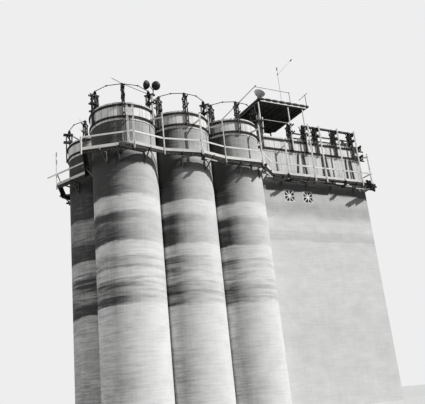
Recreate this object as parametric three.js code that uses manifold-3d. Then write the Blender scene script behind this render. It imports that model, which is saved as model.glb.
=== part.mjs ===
// A group of concrete silos and a rectangular bin block while their walls are still being cast
// with a climbing form: six round cells in two rows, the block at their right end, the ring of
// forms with its yokes and jacks on top, and the timber walkway that hangs below the forms.
// Millimetres, +Z up. The origin is on the ground under the wall that links the middle silos,
// +X runs along the rows towards the block, and -Y is the side that faces the viewer.

import * as THREE from 'three';
import { ConvexGeometry } from 'three/addons/geometries/ConvexGeometry.js';
import { mergeVertices } from 'three/addons/utils/BufferGeometryUtils.js';
import Module from 'manifold-3d';

const wasm = await Module();
wasm.setup();

// Driving dimensions
const GAP = 0.3;
const JOINT = 1;
const PAST = 10;
const WALL = 180;
const SILO_RADIUS = 2600;
const SILO_SPACING = 5020;
const ROW_OFFSET = 3315;
const CONCRETE_TOP = 24450;
const FLOOR_THICKNESS = 300;

const BLOCK_LEFT = SILO_SPACING + SILO_RADIUS + GAP;
const BLOCK_RIGHT = 20270;
const BLOCK_HALF_DEPTH = 3550;

const OPENING_SIZE = 1160;
const OPENING_BOTTOM = 18170;
const OPENING_CENTRES = [10850, 12970];

const FORM_THICKNESS = 45;
const FORM_BOTTOM = 23050;
const FORM_TOP = 24620;
const HOOP_DEPTH = 100;
const HOOP_HEIGHT = 150;
const HOOP_LEVELS = [23320, 24340];
const DECK_BOTTOM = 24300;

const YOKE_BOTTOM = 23150;
const YOKE_TOP = 25800;
const YOKE_LEG = 100;
const YOKE_BEAM = 150;
const YOKE_LOWER_BEAM = 25050;
const YOKE_OVERHANG = 210;
const INNER_TIP = 60;
const JACK_RADIUS = 75;
const JACK_HEIGHT = 330;
const RAIL = 60;

const WALKWAY_WIDTH = 620;
const PLANK_THICKNESS = 50;
const TOE_BOARD_HEIGHT = 220;
const TOE_BOARD_THICKNESS = 30;
const GUARD_HEIGHT = 1100;
const GUARD_BOARD = 95;
const GUARD_THICKNESS = 45;
const HANGER = 75;
const HANGER_DROP = 420;
const HANGER_BITE = 12;
const OUTRIGGER_HEIGHT = 140;
const BLOCK_HANGER_TOP = 26100;
const SILO_HANGER_TOP = 23850;
const LEDGER_INSET = 40;
const LEDGER_WIDTH = 70;
const LEDGER_HEIGHT = 140;
const BRACKET_WIDTH = 75;
const BRACKET_BEAM = 150;
const BRACKET_DROP = 1050;
const BRACKET_OVERHANG = 160;
const STRUT_AT_BEAM = 3;
const STRUT_AT_FOOT = 2.4;
const TOE_BOARD_LIFT = 8;

// The outer edge of the hanging walkway on the viewer's side, from the notch at the left end
// to the far corner of the block: x, y and the level of its planks.
const WALKWAY_EDGE = [
  [-7350, 0, 20620],
  [-8990, -4650, 20620],
  [-5680, -6887, 20620],
  [-2800, -6290, 20600],
  [340, -6830, 20550],
  [2690, -6420, 20450],
  [6170, -6670, 20350],
  [8810, -4280, 20560],
  [20900, -4280, 20560],
];

// Behind, the edge is the same apart from its left end, where one hand board runs on past the
// last corner.
const BACK_CORNERS = [
  [-7900, 5500, 20620],
  [-8850, 3200, 20620],
];
const HAND_BOARD_PAST = 1300;
const CORNER_POST_TOP = 23700;

// Yoke directions round each silo of the viewer's row, in degrees from +X, and the yoke places
// along the block's long walls.
const YOKE_AZIMUTHS = {
  left: [132, 192, 252, 312],
  middle: [130, 210, 262, 318],
  right: [130, 210, 262, 322],
};
const BLOCK_YOKES = [8500, 11900, 13650, 15000, 17300, 19500];
const END_YOKES = [-1750, 1750];

// Walkway brackets: directions round each silo, places along the block's long walls and places
// across its end.
const BRACKET_AZIMUTHS = {
  left: [150, 217.5, 240, 285],
  middle: [247.5, 292.5],
  right: [255, 300, 330],
};
const BLOCK_BRACKETS = [10000, 12900, 15800, 18700];
const END_BRACKETS = [-3000, -900, 900, 3000];

// Block hangers stand at the ends of these yokes' beams; one more hangs from the lower hoop, and
// the end wall's hangers stand at these places across it.
const HANGING_YOKES = BLOCK_YOKES.slice(2);
const LOW_HANGER = 10600;
const END_HANGERS = [-4090, ...END_YOKES, 4090];

// Ledgers that run on past a corner: the face, how far before its start and past its end.
const LEDGER_PAST = { 2: [1200, 0], 7: [0, 300] };

// Hangers round the silos: the corner of the edge, how far along the next face (or, below zero,
// along the one before), and the silo and the direction where its outrigger meets the lower hoop.
const HANGER_TARGETS = [
  [2, -300, 'left', 257],
  [2, 150, 'left', 268],
  [3, 0, 'left', 304],
  [4, 0, 'middle', 275],
  [5, 0, 'middle', 307],
  [6, 0, 'right', 289],
];

// Shelter on the block: its post line along the front, the back posts and the roof, and the
// forked mast that stands on the roof.
const SHELTER_POSTS = [8500, 11900, 13650];
const SHELTER_FRONT = -3900;
const SHELTER_BACK = 1800;
const SHELTER_ROOF_UNDERSIDE = 28050;
const MAST_FOOT = [12300, -2600];
const MAST_FORK = 32300;
const MAST_TIP = [14300, -2600, 34350];

const BOWL_RADIUS = 380;
const BOWL_DEPTH = 280;
const WIDE_BOWL_RADIUS = 480;
const WIDE_BOWL_DEPTH = 320;
const BOWL_SIDES = 12;
const LAMP_POST = 40;
const LAMP_ARM = 28;
const LAMP_NECK = 20;

const ROUND = 48;
const FACETED = 24;
const HALF_FACET = Math.PI / FACETED;

// Materials
function finish(colour, roughness, metalness = 0) {
  return new THREE.MeshStandardMaterial({ color: colour, roughness, metalness });
}

const concrete = finish(0xc9c7c1, 0.92);
const oldTimber = finish(0x4e4a44, 0.85);
const newTimber = finish(0xd9d4c8, 0.8);
const staveTimber = finish(0xb9b4a8, 0.8);
const darkSteel = finish(0x3a3b3d, 0.6, 0.7);
const paleSteel = finish(0xc8cacb, 0.5, 0.6);

const model = new THREE.Group();

function add(name, material, geometry) {
  const mesh = new THREE.Mesh(geometry, material);
  mesh.name = name;
  model.add(mesh);
  return mesh;
}

// Geometry helpers
function bare(geometry) {
  const copy = geometry.clone();
  copy.deleteAttribute('normal');
  copy.deleteAttribute('uv');
  return mergeVertices(copy, 0.001);
}

function solid(geometry) {
  const closed = bare(geometry);
  return new wasm.Manifold(new wasm.Mesh({
    numProp: 3,
    vertProperties: new Float32Array(closed.attributes.position.array),
    triVerts: new Uint32Array(closed.index.array),
  }));
}

function geometryOf(manifold) {
  const mesh = manifold.asOriginal().simplify(0.01).getMesh();
  const geometry = new THREE.BufferGeometry();
  geometry.setAttribute('position', new THREE.BufferAttribute(mesh.vertProperties, 3));
  geometry.setIndex(new THREE.BufferAttribute(mesh.triVerts, 1));
  return geometry;
}

function unionOf(geometries) {
  return geometries.map(solid).reduce((whole, next) => whole.add(next));
}

function fused(geometries) {
  return geometryOf(unionOf(geometries));
}

function mirrored(geometry) {
  const copy = bare(geometry);
  copy.scale(1, -1, 1);
  const index = copy.index.array;
  for (let i = 0; i < index.length; i += 3) {
    [index[i], index[i + 1]] = [index[i + 1], index[i]];
  }
  return copy;
}

function block(x0, x1, y0, y1, z0, z1) {
  const geometry = new THREE.BoxGeometry(x1 - x0, y1 - y0, z1 - z0);
  geometry.translate((x0 + x1) / 2, (y0 + y1) / 2, (z0 + z1) / 2);
  return geometry;
}

function ring(outer, inner, z0, z1, facets) {
  const profile = [
    new THREE.Vector2(inner, z0),
    new THREE.Vector2(outer, z0),
    new THREE.Vector2(outer, z1),
    new THREE.Vector2(inner, z1),
    new THREE.Vector2(inner, z0),
  ];
  const geometry = new THREE.LatheGeometry(profile, facets);
  geometry.rotateX(Math.PI / 2);
  return geometry;
}

function disc(radius, z0, z1, facets) {
  const geometry = new THREE.CylinderGeometry(radius, radius, z1 - z0, facets);
  geometry.rotateX(Math.PI / 2);
  geometry.translate(0, 0, (z0 + z1) / 2);
  return geometry;
}

function tube(from, to, radius, sides = 4) {
  const start = new THREE.Vector3(...from);
  const end = new THREE.Vector3(...to);
  const along = end.clone().sub(start);
  const geometry = new THREE.CylinderGeometry(radius, radius, along.length(), sides);
  const turn = new THREE.Quaternion().setFromUnitVectors(
    new THREE.Vector3(0, 1, 0),
    along.clone().normalize(),
  );
  geometry.applyQuaternion(turn);
  geometry.translate(...start.add(end).multiplyScalar(0.5).toArray());
  return geometry;
}

// A sawn bar between two points, its width level and its height in the vertical plane.
function bar(from, to, width, height) {
  const start = new THREE.Vector3(...from);
  const end = new THREE.Vector3(...to);
  const along = end.clone().sub(start).normalize();
  const side = new THREE.Vector3(0, 0, 1).cross(along).normalize();
  const up = along.clone().cross(side);
  const geometry = new THREE.BoxGeometry(start.distanceTo(end), width, height);
  geometry.applyMatrix4(new THREE.Matrix4().makeBasis(along, side, up));
  geometry.translate(...start.add(end).multiplyScalar(0.5).toArray());
  return geometry;
}

function hull(points) {
  return new ConvexGeometry(points.map((point) => new THREE.Vector3(...point)));
}

// The vertex radius of a many-sided ring whose flat sides lie at the given distance.
function overFlats(distance) {
  return distance / Math.cos(HALF_FACET);
}


// Base slab and silo cells
const COLUMNS = { left: -SILO_SPACING, middle: 0, right: SILO_SPACING };
const HALF_SPACING = SILO_SPACING / 2;
const INNER_RADIUS = SILO_RADIUS - WALL;
const FORM_INNER = overFlats(SILO_RADIUS + GAP);
const FORM_OUTER = overFlats(SILO_RADIUS + GAP + FORM_THICKNESS);
const HOOP_INNER = overFlats(SILO_RADIUS + 2 * GAP + FORM_THICKNESS);
const HOOP_OUTER = overFlats(SILO_RADIUS + 2 * GAP + FORM_THICKNESS + HOOP_DEPTH);
const LINK_FACE = WALL / 2;
const LINK_FORM_FACE = LINK_FACE + GAP + FORM_THICKNESS;
const LINK_HOOP_FACE = LINK_FORM_FACE + GAP + HOOP_DEPTH;
const SKY = 40000;

function discsAtAllSilos(radius, z0, z1, facets) {
  return Object.values(COLUMNS).flatMap((x) => [-1, 1].map((side) => {
    const piece = disc(radius, z0, z1, facets);
    piece.translate(x, side * ROW_OFFSET, 0);
    return piece;
  }));
}

function baseSlab() {
  const between = block(-SILO_SPACING, BLOCK_LEFT + PAST, -ROW_OFFSET, ROW_OFFSET, 0, FLOOR_THICKNESS);
  const underBlock = block(BLOCK_LEFT, BLOCK_RIGHT, -BLOCK_HALF_DEPTH, BLOCK_HALF_DEPTH, 0, FLOOR_THICKNESS);
  return fused([...discsAtAllSilos(SILO_RADIUS, 0, FLOOR_THICKNESS, FACETED), between, underBlock]);
}

add('base_slab', concrete, baseSlab());

// The part of the front row that belongs to one silo, up to the middle planes of the shared
// walls and up to the block.
function bay(column) {
  const left = column === 'left' ? -SKY : COLUMNS[column] - HALF_SPACING + GAP / 2;
  const right = column === 'right' ? BLOCK_LEFT - GAP : COLUMNS[column] + HALF_SPACING - GAP / 2;
  return solid(block(left, right, -SKY, -GAP / 2, -PAST, SKY));
}

const WALL_BOTTOM = FLOOR_THICKNESS + GAP;

for (const column of Object.keys(COLUMNS)) {
  const x = COLUMNS[column];
  const whole = ring(SILO_RADIUS, INNER_RADIUS, WALL_BOTTOM, CONCRETE_TOP, ROUND);
  whole.translate(x, -ROW_OFFSET, 0);
  const shell = geometryOf(solid(whole).intersect(bay(column)));
  add(`silo_front_${column}`, concrete, shell);
  add(`silo_back_${column}`, concrete, mirrored(shell));
}

for (const [column, x] of Object.entries(COLUMNS)) {
  const half = ROW_OFFSET - SILO_RADIUS - GAP;
  const link = block(x - LINK_FACE, x + LINK_FACE, -half, half, WALL_BOTTOM, CONCRETE_TOP);
  add(`link_wall_${column}`, concrete, link);
}

// Bin block
const BLOCK_INNER = BLOCK_HALF_DEPTH - WALL;
const END_WALL = BLOCK_INNER - GAP;

function openingCutter(x) {
  const half = OPENING_SIZE / 2;
  const top = OPENING_BOTTOM + OPENING_SIZE;
  const [outside, inside] = [-BLOCK_HALF_DEPTH - PAST, -BLOCK_INNER + PAST];
  return solid(block(x - half, x + half, outside, inside, OPENING_BOTTOM, top));
}

const longWall = block(BLOCK_LEFT, BLOCK_RIGHT, -BLOCK_HALF_DEPTH, -BLOCK_INNER, WALL_BOTTOM, CONCRETE_TOP);
const piercedWall = OPENING_CENTRES.map(openingCutter).reduce(
  (wall, cutter) => wall.subtract(cutter),
  solid(longWall),
);
add('block_front_wall', concrete, geometryOf(piercedWall));
add('block_back_wall', concrete, mirrored(longWall));
const rightWall = block(BLOCK_RIGHT - WALL, BLOCK_RIGHT, -END_WALL, END_WALL, WALL_BOTTOM, CONCRETE_TOP);
add('block_right_wall', concrete, rightWall);
const leftWall = block(BLOCK_LEFT, BLOCK_LEFT + WALL, -END_WALL, END_WALL, WALL_BOTTOM, CONCRETE_TOP);
add('block_left_wall', concrete, leftWall);

// The two wall openings are kept in shape by crossed timbers: a frame with an upright, a rail
// and both diagonals, cut from one board with eight three-cornered gaps.
function crossedBracing(centre) {
  const half = OPENING_SIZE / 2 - GAP;
  const frame = 70;
  const halfBar = 48;
  const diagonal = halfBar * Math.SQRT2;
  const depth = 70;
  const recess = 15;
  const reach = half - frame;
  const corners = [
    [halfBar, halfBar + diagonal],
    [halfBar, reach],
    [reach - diagonal, reach],
  ];
  const gaps = [];
  for (const [sx, sz] of [[1, 1], [-1, 1], [1, -1], [-1, -1]]) {
    for (const swap of [false, true]) {
      gaps.push(hull(corners.flatMap(([a, b]) => [-PAST, depth + PAST].map(
        (y) => [sx * (swap ? b : a), y, sz * (swap ? a : b)],
      ))));
    }
  }
  const board = block(-half, half, 0, depth, -half, half);
  const geometry = geometryOf(solid(board).subtract(unionOf(gaps)));
  geometry.translate(centre, -BLOCK_HALF_DEPTH + recess, OPENING_BOTTOM + OPENING_SIZE / 2);
  return geometry;
}

add('opening_bracing_left', newTimber, crossedBracing(OPENING_CENTRES[0]));
add('opening_bracing_right', newTimber, crossedBracing(OPENING_CENTRES[1]));

// Outer forms and their hoops follow the outline of the silos: everything inside the outer
// outline that lies outside the inner one.
function siloBand(outerRadius, outerFace, innerRadius, innerFace, z0, z1) {
  const outerFill = block(-SILO_SPACING - outerFace, BLOCK_LEFT + PAST, -ROW_OFFSET, ROW_OFFSET, z0, z1);
  const innerFill = block(-SILO_SPACING - innerFace, SKY, -ROW_OFFSET, ROW_OFFSET, z0 - PAST, z1 + PAST);
  const outer = unionOf([...discsAtAllSilos(outerRadius, z0, z1, FACETED), outerFill]);
  const inner = unionOf([...discsAtAllSilos(innerRadius, z0 - PAST, z1 + PAST, FACETED), innerFill]);
  const leftOfBlock = solid(block(-SKY, BLOCK_LEFT - GAP, -SKY, SKY, z0 - PAST, z1 + PAST));
  return outer.subtract(inner).intersect(leftOfBlock);
}

const siloForm = siloBand(
  FORM_OUTER,
  LINK_FORM_FACE,
  FORM_INNER,
  LINK_FACE + GAP,
  FORM_BOTTOM,
  FORM_TOP,
);
add('outer_form_silos', staveTimber, geometryOf(siloForm));

const BLOCK_FORM_FACE = BLOCK_HALF_DEPTH + GAP + FORM_THICKNESS;
const BLOCK_HOOP_FACE = BLOCK_FORM_FACE + GAP + HOOP_DEPTH;
const BLOCK_FORM_RIGHT = BLOCK_RIGHT + GAP + FORM_THICKNESS;
const BLOCK_HOOP_RIGHT = BLOCK_FORM_RIGHT + GAP + HOOP_DEPTH;

function blockForm() {
  const outer = block(
    BLOCK_LEFT,
    BLOCK_FORM_RIGHT,
    -BLOCK_FORM_FACE,
    BLOCK_FORM_FACE,
    FORM_BOTTOM,
    FORM_TOP,
  );
  const inner = block(
    BLOCK_LEFT - PAST,
    BLOCK_RIGHT + GAP,
    -BLOCK_HALF_DEPTH - GAP,
    BLOCK_HALF_DEPTH + GAP,
    FORM_BOTTOM - PAST,
    FORM_TOP + PAST,
  );
  return geometryOf(solid(outer).subtract(solid(inner)));
}

add('outer_form_block', staveTimber, blockForm());

// Yokes: two legs that straddle the wall, a lower beam and a head beam across them and the jack
// on the head beam. The leg outside a silo reaches down over the hoops, and a
// leg over a deck stands on it. In a yoke's own frame +X points out of the wall and zero is the
// middle of the wall.
const MID_WALL_RADIUS = SILO_RADIUS - WALL / 2;
const LEG_BITE = 5;
const INNER_CLEARANCE = 30;
const OUTER_LEG_FACE = SILO_RADIUS + FORM_THICKNESS + HOOP_DEPTH - LEG_BITE - MID_WALL_RADIUS;
const INNER_LEG_FACE = WALL / 2 + FORM_THICKNESS + INNER_CLEARANCE;
const OUTER_LEG_BACK = OUTER_LEG_FACE + YOKE_LEG;
const INNER_LEG_BACK = INNER_LEG_FACE + YOKE_LEG;
const HALF_LEG = YOKE_LEG / 2;
const HEAD_TOP = YOKE_TOP + YOKE_BEAM;
const JACK_TOP = HEAD_TOP + JACK_HEIGHT;
const ON_DECK = FORM_TOP + GAP;
const ARC_STEPS = 2;

function yokePieces(overhang, outerFoot) {
  const tipIn = -INNER_LEG_BACK - INNER_TIP;
  const tipOut = OUTER_LEG_BACK + overhang;
  const beamTop = YOKE_LOWER_BEAM + YOKE_BEAM;
  const outline = new THREE.Shape([
    [-INNER_LEG_BACK, ON_DECK],
    [-INNER_LEG_FACE, ON_DECK],
    [-INNER_LEG_FACE, YOKE_LOWER_BEAM],
    [OUTER_LEG_FACE, YOKE_LOWER_BEAM],
    [OUTER_LEG_FACE, outerFoot],
    [OUTER_LEG_BACK, outerFoot],
    [OUTER_LEG_BACK, YOKE_LOWER_BEAM],
    [tipOut, YOKE_LOWER_BEAM],
    [tipOut, beamTop],
    [OUTER_LEG_BACK, beamTop],
    [OUTER_LEG_BACK, YOKE_TOP],
    [tipOut, YOKE_TOP],
    [tipOut, HEAD_TOP],
    [tipIn, HEAD_TOP],
    [tipIn, YOKE_TOP],
    [-INNER_LEG_BACK, YOKE_TOP],
  ].map(([out, up]) => new THREE.Vector2(out, up)));
  outline.holes.push(new THREE.Path([
    [-INNER_LEG_FACE, beamTop],
    [-INNER_LEG_FACE, YOKE_TOP],
    [OUTER_LEG_FACE, YOKE_TOP],
    [OUTER_LEG_FACE, beamTop],
  ].map(([out, up]) => new THREE.Vector2(out, up))));
  const portal = new THREE.ExtrudeGeometry(outline, { depth: YOKE_LEG, bevelEnabled: false });
  portal.rotateX(Math.PI / 2);
  portal.translate(0, HALF_LEG, 0);
  return [portal, disc(JACK_RADIUS, HEAD_TOP - JOINT, JACK_TOP, 4)];
}

function placed(geometry, [x, y], azimuth) {
  const copy = geometry.clone();
  copy.rotateZ(THREE.MathUtils.degToRad(azimuth));
  copy.translate(x, y, 0);
  return copy;
}

function aroundSilo(column, azimuth, radius) {
  const angle = THREE.MathUtils.degToRad(azimuth);
  return [
    COLUMNS[column] + radius * Math.cos(angle),
    -ROW_OFFSET + radius * Math.sin(angle),
  ];
}

// Rails that lie on the jacks, from one to the next.
function topRails(points) {
  const level = JACK_TOP + RAIL / 2 - JOINT;
  return points.slice(1).map((to, i) => {
    const push = RAIL / 2 / Math.hypot(to[0] - points[i][0], to[1] - points[i][1]);
    const end = to.map((value, axis) => value + (value - points[i][axis]) * push);
    return bar([...points[i], level], [...end, level], RAIL, RAIL);
  });
}

function hoopBands() {
  return HOOP_LEVELS.map((level) => siloBand(
    HOOP_OUTER,
    LINK_HOOP_FACE,
    HOOP_INNER,
    LINK_FORM_FACE + GAP,
    level - HOOP_HEIGHT / 2,
    level + HOOP_HEIGHT / 2,
  )).reduce((lower, upper) => lower.add(upper));
}

const siloHoops = hoopBands();

// The points of a top rail that is bent round a silo, with joints between the yokes.
function railArc(column, azimuths) {
  const steps = azimuths.slice(1).flatMap((to, i) => Array.from({ length: ARC_STEPS }, (_, k) => (
    azimuths[i] + ((to - azimuths[i]) * (k + 1)) / ARC_STEPS
  )));
  return [azimuths[0], ...steps].map((azimuth) => aroundSilo(column, azimuth, MID_WALL_RADIUS));
}

// One silo's hoops, yokes and top rail, bolted up as one frame.
function yokeFrame(column) {
  const azimuths = YOKE_AZIMUTHS[column];
  const centres = azimuths.map((azimuth) => aroundSilo(column, azimuth, MID_WALL_RADIUS));
  const yokes = azimuths.flatMap((azimuth, i) => {
    const overDeck = column !== 'left' && azimuth < 180;
    const pieces = yokePieces(YOKE_OVERHANG, overDeck ? ON_DECK : YOKE_BOTTOM);
    return pieces.map((piece) => placed(piece, centres[i], azimuth));
  });
  const hoops = siloHoops.intersect(bay(column));
  return geometryOf(hoops.add(unionOf([...yokes, ...topRails(railArc(column, azimuths))])));
}

for (const column of Object.keys(COLUMNS)) {
  const frame = yokeFrame(column);
  add(`yoke_frame_front_${column}`, darkSteel, frame);
  add(`yoke_frame_back_${column}`, darkSteel, mirrored(frame));
}

const MID_BLOCK_WALL = BLOCK_HALF_DEPTH - WALL / 2;
const WALKWAY_BLOCK_EDGE = -WALKWAY_EDGE[WALKWAY_EDGE.length - 1][1];
const BLOCK_OVERHANG = WALKWAY_BLOCK_EDGE - JOINT - GAP - MID_BLOCK_WALL - OUTER_LEG_BACK;

function frontHoops() {
  return HOOP_LEVELS.map((level) => block(
    BLOCK_LEFT,
    BLOCK_HOOP_RIGHT,
    -BLOCK_HOOP_FACE,
    -BLOCK_FORM_FACE - GAP,
    level - HOOP_HEIGHT / 2,
    level + HOOP_HEIGHT / 2,
  ));
}

function endHoops() {
  return HOOP_LEVELS.map((level) => block(
    BLOCK_FORM_RIGHT + GAP,
    BLOCK_HOOP_RIGHT,
    -BLOCK_FORM_FACE,
    BLOCK_FORM_FACE,
    level - HOOP_HEIGHT / 2,
    level + HOOP_HEIGHT / 2,
  ));
}

function blockFrontFrame() {
  const yokes = BLOCK_YOKES.flatMap((x) => yokePieces(BLOCK_OVERHANG, YOKE_BOTTOM).map(
    (piece) => placed(piece, [x, -MID_BLOCK_WALL], -90),
  ));
  const rails = topRails(HANGING_YOKES.map((x) => [x, -MID_BLOCK_WALL]));
  return fused([...frontHoops(), ...yokes, ...rails]);
}

function blockEndFrame() {
  const centres = END_YOKES.map((y) => [BLOCK_RIGHT - WALL / 2, y]);
  const yokes = centres.flatMap((centre) => yokePieces(YOKE_OVERHANG, YOKE_BOTTOM).map(
    (piece) => placed(piece, centre, 0),
  ));
  return fused([...endHoops(), ...yokes, ...topRails(centres)]);
}

const frontFrame = blockFrontFrame();
add('yoke_frame_block_front', darkSteel, frontFrame);
add('yoke_frame_block_back', darkSteel, mirrored(frontFrame));
add('yoke_frame_block_right', darkSteel, blockEndFrame());

// Working decks of boards on joists, closing each cell at the top of the forms.
for (const [column, x] of Object.entries(COLUMNS)) {
  const deck = disc(INNER_RADIUS - GAP, DECK_BOTTOM, FORM_TOP, FACETED);
  deck.translate(x, -ROW_OFFSET, 0);
  add(`deck_front_${column}`, oldTimber, deck);
  add(`deck_back_${column}`, oldTimber, mirrored(deck));
}

// The hollows between four silos, and between the last pair and the block, have decks too.
const BETWEEN_REACH = 2700;

function betweenDeck(x0, x1) {
  const whole = solid(block(x0 + GAP, x1 - GAP, -BETWEEN_REACH, BETWEEN_REACH, DECK_BOTTOM, FORM_TOP));
  const silos = unionOf(discsAtAllSilos(overFlats(SILO_RADIUS + GAP), 0, SKY, FACETED));
  const pieces = whole.subtract(silos).decompose();
  pieces.sort((a, b) => b.volume() - a.volume());
  return geometryOf(pieces[0]);
}

add('deck_between_left', oldTimber, betweenDeck(-SILO_SPACING + LINK_FACE, -LINK_FACE));
add('deck_between_middle', oldTimber, betweenDeck(LINK_FACE, SILO_SPACING - LINK_FACE));
add('deck_between_right', oldTimber, betweenDeck(SILO_SPACING + LINK_FACE, BLOCK_LEFT));
add('deck_block', oldTimber, block(
  BLOCK_LEFT + WALL + GAP,
  BLOCK_RIGHT - WALL - GAP,
  -END_WALL,
  END_WALL,
  DECK_BOTTOM,
  FORM_TOP,
));

// Hanging walkway. Each face of its zigzag edge is built between mitred corners.
const EDGE = [
  ...WALKWAY_EDGE,
  ...WALKWAY_EDGE.slice(2).reverse().map(([x, y, z]) => [x, -y, z]),
  ...BACK_CORNERS,
];
const FRONT_FACES = WALKWAY_EDGE.length - 1;

// A corner behind and the one it mirrors have numbers that add up to this.
const CORNER_PAIR = 2 * WALKWAY_EDGE.length - 1;

function inwardNormal(from, to) {
  const length = Math.hypot(to[0] - from[0], to[1] - from[1]);
  return [-(to[1] - from[1]) / length, (to[0] - from[0]) / length];
}

// The point at the given inset from both faces that meet at a corner of the edge.
function cornerAt(i, inset) {
  const count = EDGE.length;
  const here = EDGE[i % count];
  const before = inwardNormal(EDGE[(i + count - 1) % count], here);
  const after = inwardNormal(here, EDGE[(i + 1) % count]);
  const scale = inset / (1 + before[0] * after[0] + before[1] * after[1]);
  return [
    here[0] + scale * (before[0] + after[0]),
    here[1] + scale * (before[1] + after[1]),
    here[2],
  ];
}

// Boards that run all the way round the edge, between two insets and two heights above the
// planks, mitred at the corners and following the level of each corner.
function loopTimber(inset0, inset1, rise0, rise1) {
  const [outside, inside] = [inset0, inset1].map((inset) => EDGE.map((_, i) => {
    const [x, y] = cornerAt(i, inset);
    return new THREE.Vector2(x, y);
  }));
  const outline = new THREE.Shape(outside);
  outline.holes.push(new THREE.Path(inside));
  const geometry = new THREE.ExtrudeGeometry(outline, { depth: rise1 - rise0, bevelEnabled: false });
  const { position } = geometry.attributes;
  for (let v = 0; v < position.count; v += 1) {
    const distances = EDGE.map(([x, y]) => Math.hypot(x - position.getX(v), y - position.getY(v)));
    const nearest = EDGE[distances.indexOf(Math.min(...distances))];
    position.setZ(v, position.getZ(v) + rise0 + nearest[2]);
  }
  return geometry;
}

function planks() {
  return loopTimber(TOE_BOARD_THICKNESS + GAP, WALKWAY_WIDTH, -PLANK_THICKNESS, 0);
}

// The point at an inset from a face, a given way along it from its first corner.
function onFace(face, along, inset) {
  const [from, to] = [EDGE[face], EDGE[(face + 1) % EDGE.length]];
  const length = Math.hypot(to[0] - from[0], to[1] - from[1]);
  const [nx, ny] = inwardNormal(from, to);
  const share = along / length;
  return [
    from[0] + (to[0] - from[0]) * share + nx * inset,
    from[1] + (to[1] - from[1]) * share + ny * inset,
    from[2] + (to[2] - from[2]) * share,
  ];
}

function faceLength(face) {
  const [from, to] = [EDGE[face], EDGE[(face + 1) % EDGE.length]];
  return Math.hypot(to[0] - from[0], to[1] - from[1]);
}

// Ledgers on edge that carry the planks' outer side. The faces behind are told from the front.
function ledgers() {
  const middle = LEDGER_INSET + LEDGER_WIDTH / 2;
  const drop = PLANK_THICKNESS - JOINT + LEDGER_HEIGHT / 2;
  return EDGE.map((_, face) => {
    const behind = CORNER_PAIR - 1 - face;
    const [before, past] = LEDGER_PAST[face] ?? [...(LEDGER_PAST[behind] ?? [0, 0])].reverse();
    const [start, end] = [onFace(face, -before, middle), onFace(face, faceLength(face) + past, middle)];
    start[2] -= drop;
    end[2] -= drop;
    return bar(start, end, LEDGER_WIDTH, LEDGER_HEIGHT);
  });
}

function guardBoards() {
  const low = -PLANK_THICKNESS + TOE_BOARD_LIFT;
  return [
    loopTimber(0, TOE_BOARD_THICKNESS, low, low + TOE_BOARD_HEIGHT),
    loopTimber(0, GUARD_THICKNESS, GUARD_HEIGHT - GUARD_BOARD, GUARD_HEIGHT),
  ];
}

// A bracket of sawn timber under the walkway: a level beam from the wall past the outer edge,
// an upright on the wall and a strut between them.
function bracket(length, level) {
  const out = length + BRACKET_OVERHANG;
  const beam = BRACKET_BEAM;
  const bar = BRACKET_WIDTH;
  const drop = BRACKET_DROP;
  const outline = new THREE.Shape([
    new THREE.Vector2(0, 0),
    new THREE.Vector2(0, -drop),
    new THREE.Vector2(bar, -drop),
    new THREE.Vector2(length - bar, -beam),
    new THREE.Vector2(out, -beam),
    new THREE.Vector2(out, 0),
  ]);
  outline.holes.push(new THREE.Path([
    new THREE.Vector2(bar, -beam),
    new THREE.Vector2(length - STRUT_AT_BEAM * bar, -beam),
    new THREE.Vector2(bar, -drop + STRUT_AT_FOOT * bar),
  ]));
  const geometry = new THREE.ExtrudeGeometry(outline, { depth: bar, bevelEnabled: false });
  geometry.translate(0, 0, -bar / 2);
  geometry.rotateX(Math.PI / 2);
  geometry.translate(0, 0, level - PLANK_THICKNESS + JOINT);
  return geometry;
}

// Where a level line from a point in a given direction crosses the walkway's edge.
function edgeCrossing([x, y], azimuth) {
  const angle = THREE.MathUtils.degToRad(azimuth);
  const [dx, dy] = [Math.cos(angle), Math.sin(angle)];
  const found = EDGE.map((from, i) => {
    const to = EDGE[(i + 1) % EDGE.length];
    const [ex, ey] = [to[0] - from[0], to[1] - from[1]];
    const cross = dx * ey - dy * ex;
    const distance = ((from[0] - x) * ey - (from[1] - y) * ex) / cross;
    const share = ((from[0] - x) * dy - (from[1] - y) * dx) / cross;
    return { distance, share, level: from[2] + share * (to[2] - from[2]) };
  });
  const ahead = found.filter((hit) => hit.distance > 0 && hit.share >= 0 && hit.share <= 1);
  return ahead.sort((a, b) => a.distance - b.distance)[0];
}

function bracketFrom(point, azimuth) {
  const hit = edgeCrossing(point, azimuth);
  return placed(bracket(hit.distance, hit.level), point, azimuth);
}

// Side is 1 for the viewer's side and -1 behind.
function sideBrackets(side) {
  const radial = Object.entries(BRACKET_AZIMUTHS).flatMap(([column, azimuths]) => azimuths.map(
    (azimuth) => {
      const [x, y] = aroundSilo(column, azimuth, SILO_RADIUS + GAP);
      return bracketFrom([x, side * y], side * azimuth);
    },
  ));
  const straight = BLOCK_BRACKETS.map(
    (x) => bracketFrom([x, side * (-BLOCK_HALF_DEPTH - GAP)], side * -90),
  );
  return [...radial, ...straight];
}

// One side of the middle line, up to the end of the block.
function sideZone(side) {
  const [y0, y1] = side > 0 ? [-SKY, -GAP / 2] : [GAP / 2, SKY];
  return solid(block(-SKY, BLOCK_RIGHT, y0, y1, 0, SKY));
}

function endZone() {
  return solid(block(BLOCK_RIGHT + GAP, SKY, -SKY, SKY, 0, SKY));
}

function sideWalkway(side) {
  const timbers = unionOf([planks(), ...ledgers(), ...sideBrackets(side)]);
  return geometryOf(timbers.intersect(sideZone(side)));
}

add('walkway_front', oldTimber, sideWalkway(1));
add('walkway_back', oldTimber, sideWalkway(-1));

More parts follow.
